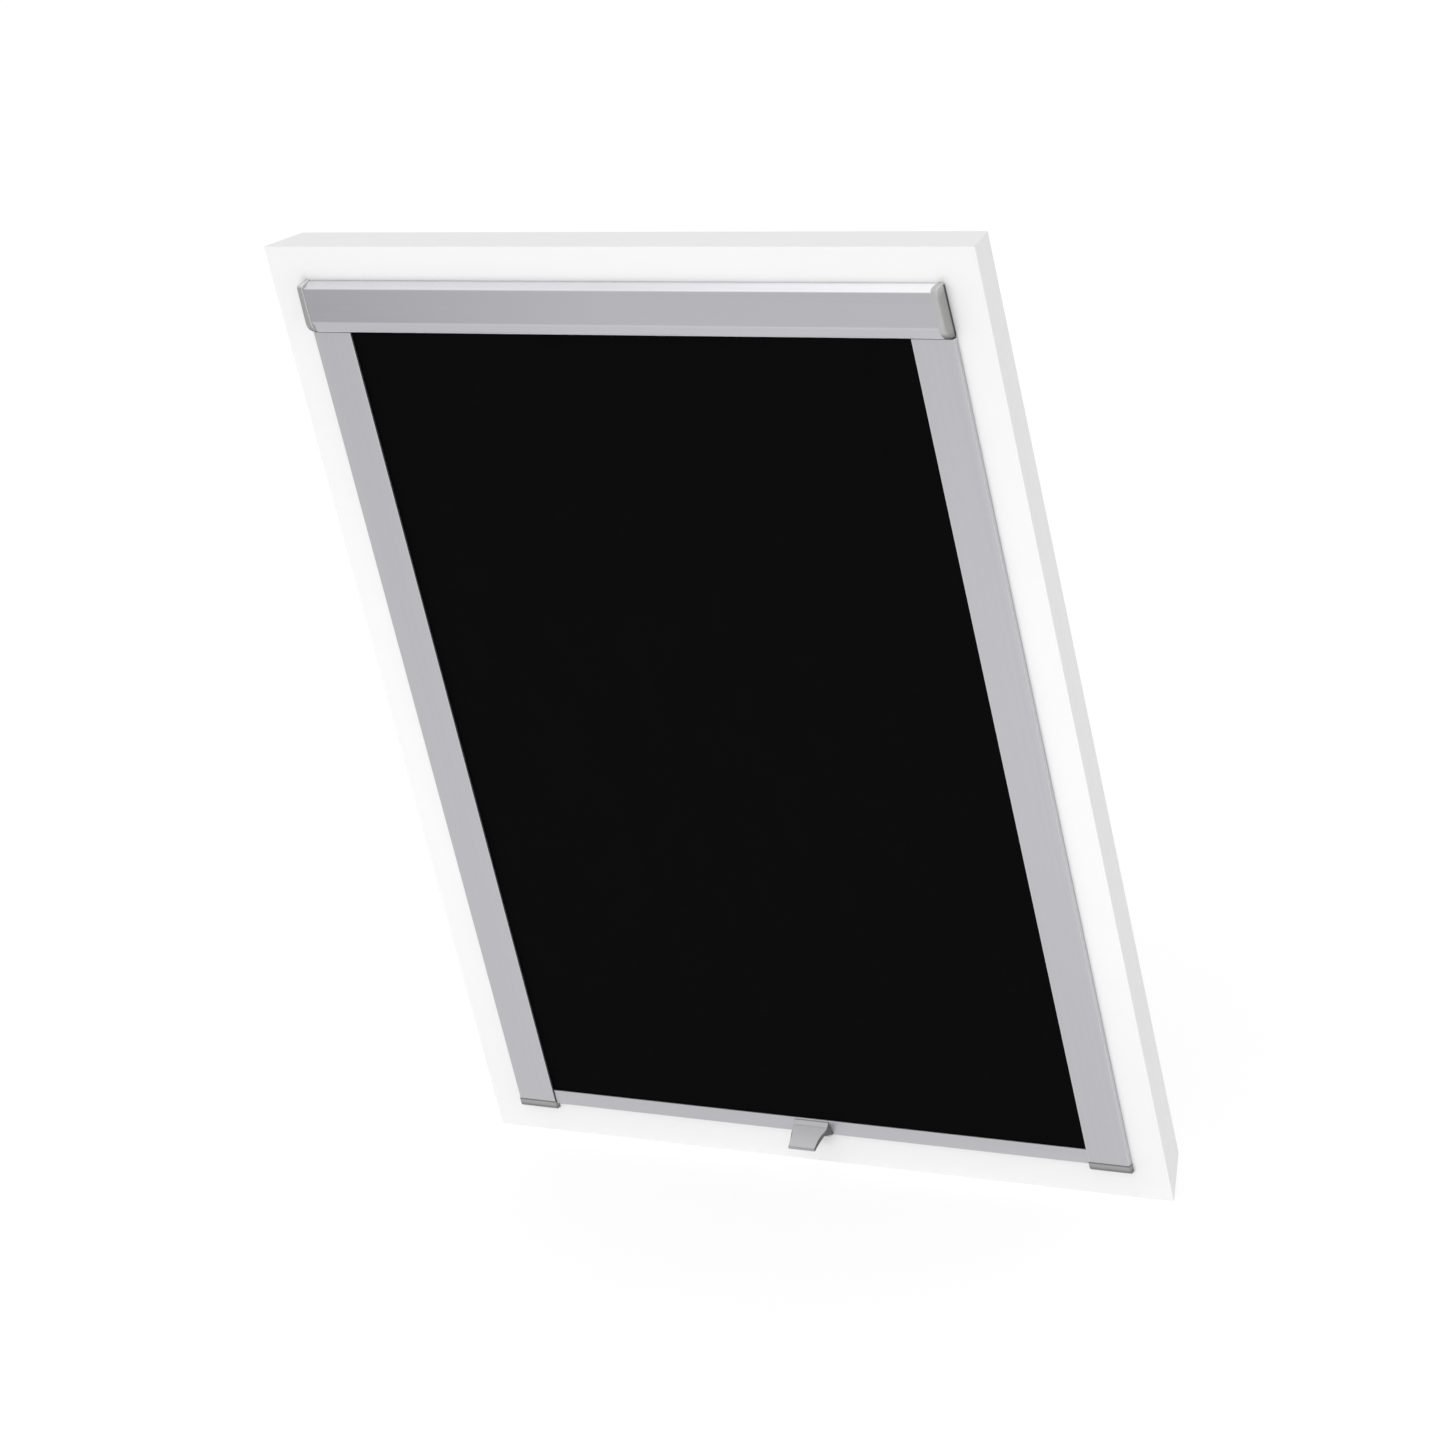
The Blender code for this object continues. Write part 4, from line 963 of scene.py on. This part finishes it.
def widths(stations, proud):
    """Half a width at a distance out from the pull's back, between its stations."""
    for (start, first), (end, second) in zip(stations, stations[1:]):
        if proud <= end:
            return first + (second - first) * max(0.0, proud - start) / (end - start)
    return stations[-1][1]


def pull_plate(sizes):
    """The pull's plate: a short steep head, a crease, and a long lean out to the lip."""
    low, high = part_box("pull_handle")
    thick = sizes.pull_thickness
    back = pull_back()
    reach = back - low.y
    lip_drop = high.z - low.z - thick
    line = [CREASE, (CREASE[0] + CREASE_TURN[0], CREASE[1] + CREASE_TURN[1])]
    start = line[-1]
    for step in range(1, PLATE_STEPS + 1):
        share = step / PLATE_STEPS
        line.append((
            start[0] + (reach - start[0]) * share,
            start[1] + (lip_drop - start[1]) * share - 4 * PLATE_BOW * share * (1 - share),
        ))
    plate = block(
        "finger_pull", 0, (back, back - PLATE_ROOT), (high.z - thick, high.z), 2 * high.x
    )
    bpy.ops.object.mode_set(mode="EDIT")
    pick("faces", lambda face: face.normal.y < -0.9)
    at = (PLATE_ROOT, 0.0)
    half = high.x
    for proud, drop in line:
        bpy.ops.mesh.extrude_region_move(
            TRANSFORM_OT_translate={"value": (0, at[0] - proud, at[1] - drop)}
        )
        width = widths(PLATE_TOP, proud)
        bpy.ops.transform.resize(value=(width / half, 1, 1), center_override=(0, 0, 0))
        at, half = (proud, drop), width
    for proud, drop in line:
        level = high.z - drop - thick / 2
        pick("verts", lambda vert: abs(back - proud - vert.co.y) < NEAR and vert.co.z < level)
        grown = widths(PLATE_SKIRT, proud) / widths(PLATE_TOP, proud)
        bpy.ops.transform.resize(value=(grown, 1, 1), center_override=(0, 0, 0))
    bpy.ops.object.mode_set(mode="OBJECT")
    return plate


def pull_base():
    """The pull's base: a plate on the bar that flares downwards and hooks under it."""
    low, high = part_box("pull_handle")
    back = pull_back()
    foot = low.z + BASE_FOOT
    under = BAR_FOOT - GAP
    start = high.x - BASE_INSET
    base = block(
        "pull_base", 0, (back, back - BASE_THICK), (foot, high.z - BASE_HEAD), 2 * start
    )
    bpy.ops.object.mode_set(mode="EDIT")
    for height in (FLARE_HEIGHT, under):
        bpy.ops.mesh.select_all(action="SELECT")
        bpy.ops.mesh.bisect(plane_co=(0, 0, height), plane_no=(0, 0, 1))
    for height, half in (
        (FLARE_HEIGHT, FLARE_HALF - FLARE_INSET), (under, FLARE_HALF - UNDER_INSET), (foot, start)
    ):
        pick("verts", lambda vert: abs(vert.co.z - height) < NEAR)
        bpy.ops.transform.resize(value=(half / start, 1, 1), center_override=(0, 0, 0))
    pick("faces", lambda face: face.normal.y > 0.9 and face.calc_center_median().z < under)
    bpy.ops.mesh.extrude_region_move(
        TRANSFORM_OT_translate={"value": (0, high.y - back, 0)}
    )
    bpy.ops.object.mode_set(mode="OBJECT")
    return base


def pull_cheek(side):
    """One cheek: a web from the base to the plate's underside that flares outwards."""
    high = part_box("pull_handle")[1]
    back = pull_back()
    outer = high.x
    foot = FLARE_HEIGHT - CHEEK_FOOT
    cheek = block(
        "pull_cheek", side * (outer - CHEEK_WALL / 2), (back - GAP, back - CHEEK_REACH),
        (foot, high.z - CHEEK_HEAD), CHEEK_WALL,
    )
    bpy.ops.object.mode_set(mode="EDIT")
    pick("verts", lambda vert: vert.co.y < back - CHEEK_REACH / 2)
    bpy.ops.transform.resize(
        value=(1, 1, CHEEK_TIP), center_override=(0, 0, high.z - CHEEK_DROP)
    )
    skirt = widths(PLATE_SKIRT, CHEEK_REACH)
    bpy.ops.transform.translate(value=(side * (skirt - outer - CHEEK_INSET), 0, 0))
    pick("verts", lambda vert: vert.co.z < foot + NEAR)
    bpy.ops.transform.translate(value=(side * (FLARE_HALF - outer), 0, 0))
    bpy.ops.object.mode_set(mode="OBJECT")
    return cheek


class BLIND_OT_blackout_cloth(bpy.types.Operator):
    """Hang the blackout cloth from the roller to the bottom bar"""

    bl_idname = "blind.blackout_cloth"
    bl_label = "Blackout cloth"

    def execute(self, context):
        low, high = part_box("blackout_cloth")
        thickness = context.scene.blind_sizes.cloth_thickness
        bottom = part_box("bottom_bar")[1].z - thickness
        drop = high.z - bottom
        deselect()
        bpy.ops.mesh.primitive_grid_add(
            x_subdivisions=CLOTH_GRID[0], y_subdivisions=CLOTH_GRID[1], size=1,
            location=(0, (low.y + high.y) / 2, (high.z + bottom) / 2),
            rotation=(math.pi / 2, 0, 0),
        )
        sheet = bpy.context.object
        sheet.scale = (high.x - low.x, drop, 1)
        settle(sheet, "blackout_sheet")
        apply_modifier(sheet, "SOLIDIFY", thickness=thickness, offset=0.0)
        finish_as(sheet, "root", finishes()["blackout_cloth"])
        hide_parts("blackout_cloth")
        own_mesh(sheet)
        return {"FINISHED"}


# The studio


def aimed_lamp(name, place, target, across, power):
    """A square soft lamp that faces a point and isn't seen, neither directly nor mirrored."""
    light = bpy.data.lights.new(name, "AREA")
    light.shape = "SQUARE"
    light.size = across
    light.energy = power
    lamp = bpy.data.objects.new(name, light)
    bpy.context.scene.collection.objects.link(lamp)
    lamp.location = place
    lamp.rotation_euler = (Vector(target) - Vector(place)).to_track_quat("-Z", "Y").to_euler()
    lamp.visible_camera = False
    lamp.visible_glossy = False


def bright_rays(nodes, links):
    """1 for camera, glossy and transmission rays, and 0 for the rest."""
    path = nodes.new("ShaderNodeLightPath")
    total = path.outputs["Is Camera Ray"]
    for name in ("Is Glossy Ray", "Is Transmission Ray"):
        both = nodes.new("ShaderNodeMath")
        both.operation = "MAXIMUM"
        links.new(total, both.inputs[0])
        links.new(path.outputs[name], both.inputs[1])
        total = both.outputs["Value"]
    return total


def white_sky(level):
    """A world that lights evenly at one level and is seen as white."""
    world = bpy.data.worlds.new("studio")
    bpy.context.scene.world = world
    world.use_nodes = True
    nodes, links = world.node_tree.nodes, world.node_tree.links
    light = nodes["Background"]
    light.inputs["Color"].default_value = WHITE
    light.inputs["Strength"].default_value = level
    seen = nodes.new("ShaderNodeBackground")
    seen.inputs["Color"].default_value = WHITE
    seen.inputs["Strength"].default_value = 1.0
    mix = nodes.new("ShaderNodeMixShader")
    links.new(bright_rays(nodes, links), mix.inputs["Fac"])
    links.new(light.outputs["Background"], mix.inputs[1])
    links.new(seen.outputs["Background"], mix.inputs[2])
    links.new(mix.outputs["Shader"], nodes["World Output"].inputs["Surface"])


def pale_floor(height):
    """A wide plain floor that is seen as white but keeps a faint shadow."""
    deselect()
    bpy.ops.mesh.primitive_plane_add(size=FLOOR_SIZE, location=(0, 0, height))
    floor = settle(bpy.context.object, "studio_floor")
    made = Finish("floor_white", FLOOR_WHITE, 0.9, specular=0.0)
    glow = made.node("ShaderNodeEmission")
    glow.inputs["Color"].default_value = WHITE
    made.link(floor_glow(made), glow.inputs["Strength"])
    share = made.node("ShaderNodeMath", operation="MULTIPLY")
    share.inputs[1].default_value = FLOOR_GLOW_SHARE
    made.link(bright_rays(made.nodes, made.links), share.inputs[0])
    mix = made.node("ShaderNodeMixShader")
    made.link(share.outputs["Value"], mix.inputs["Fac"])
    made.link(made.shader.outputs["BSDF"], mix.inputs[1])
    made.link(glow.outputs["Emission"], mix.inputs[2])
    made.link(mix.outputs["Shader"], made.nodes["Material Output"].inputs["Surface"])
    floor.data.materials.append(made.material)


def floor_glow(made):
    """The floor's level: white to the camera, and falling off to the left in reflections."""
    fall = made.spread(made.along("X"), FLOOR_GLOW_LEFT, FLOOR_GLOW, *FLOOR_FALL)
    path = made.node("ShaderNodeLightPath")
    seen = made.node("ShaderNodeMix")
    made.link(path.outputs["Is Camera Ray"], seen.inputs["Factor"])
    made.link(fall, seen.inputs["A"])
    seen.inputs["B"].default_value = FLOOR_GLOW
    return seen.outputs["Result"]


def camera_at(place, forward, up, lens):
    """The photograph's camera, from its place and its viewing and upward directions."""
    data = bpy.data.cameras.new("camera")
    data.lens = lens
    data.sensor_width = SENSOR_WIDTH
    data.clip_start, data.clip_end = 0.05, 100.0
    camera = bpy.data.objects.new("camera", data)
    bpy.context.scene.collection.objects.link(camera)
    back = -Vector(forward).normalized()
    side = Vector(up).cross(back).normalized()
    above = back.cross(side)
    turn = Matrix((side, above, back)).transposed()
    camera.matrix_world = Matrix.Translation(place) @ turn.to_4x4()
    bpy.context.scene.camera = camera


class BLIND_OT_stage(bpy.types.Operator):
    """Set up the floor, the light and the camera"""

    bl_idname = "blind.stage"
    bl_label = "Studio"

    def execute(self, context):
        light = context.scene.blind_light
        context.scene.view_settings.view_transform = "Standard"
        white_sky(light.sky)
        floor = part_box("mounting_frame")[0].z
        pale_floor(floor)
        centre = middle_of("mounting_frame")
        foot = (centre.x, centre.y, floor + FOOT_RISE)
        low_place = (0.0, LOW_LAMP_FRONT, foot[2] + LOW_LAMP_RISE)
        aimed_lamp("front_lamp", FRONT_LAMP_PLACE, centre, FRONT_LAMP_SIZE, light.key)
        aimed_lamp("low_lamp", low_place, foot, LOW_LAMP_SIZE, light.low)
        camera_at(CAMERA_PLACE, CAMERA_FORWARD, CAMERA_UP, CAMERA_LENS)
        return {"FINISHED"}


class BLIND_PT_panel(bpy.types.Panel):
    """The blind's pieces and settings"""

    bl_label = "Roof window blind"
    bl_idname = "BLIND_PT_panel"
    bl_space_type = "VIEW_3D"
    bl_region_type = "UI"
    bl_category = "Blind"

    def draw(self, context):
        column = self.layout.column()
        for operator in OPERATORS:
            column.operator(operator.bl_idname)
        for group in (
            context.scene.blind_colours, context.scene.blind_sizes, context.scene.blind_light
        ):
            box = self.layout.box()
            for name in group.__annotations__:
                box.prop(group, name)


OPERATORS = (
    BLIND_OT_stage,
    BLIND_OT_mounting_frame,
    BLIND_OT_cassette,
    BLIND_OT_roller,
    BLIND_OT_side_rails,
    BLIND_OT_bottom_bar,
    BLIND_OT_finger_pull,
    BLIND_OT_blackout_cloth,
)
CLASSES = (BlindColours, BlindSizes, BlindLight, *OPERATORS, BLIND_PT_panel)


def register():
    for item in CLASSES:
        bpy.utils.register_class(item)
    bpy.types.Scene.blind_colours = PointerProperty(type=BlindColours)
    bpy.types.Scene.blind_sizes = PointerProperty(type=BlindSizes)
    bpy.types.Scene.blind_light = PointerProperty(type=BlindLight)


def unregister():
    del bpy.types.Scene.blind_light
    del bpy.types.Scene.blind_sizes
    del bpy.types.Scene.blind_colours
    for item in reversed(CLASSES):
        bpy.utils.unregister_class(item)


def main():
    register()
    bpy.ops.blind.stage()
    bpy.ops.blind.mounting_frame()
    bpy.ops.blind.cassette()
    bpy.ops.blind.roller()
    bpy.ops.blind.side_rails()
    bpy.ops.blind.bottom_bar()
    bpy.ops.blind.finger_pull()
    bpy.ops.blind.blackout_cloth()


if __name__ == "__main__":
    main()
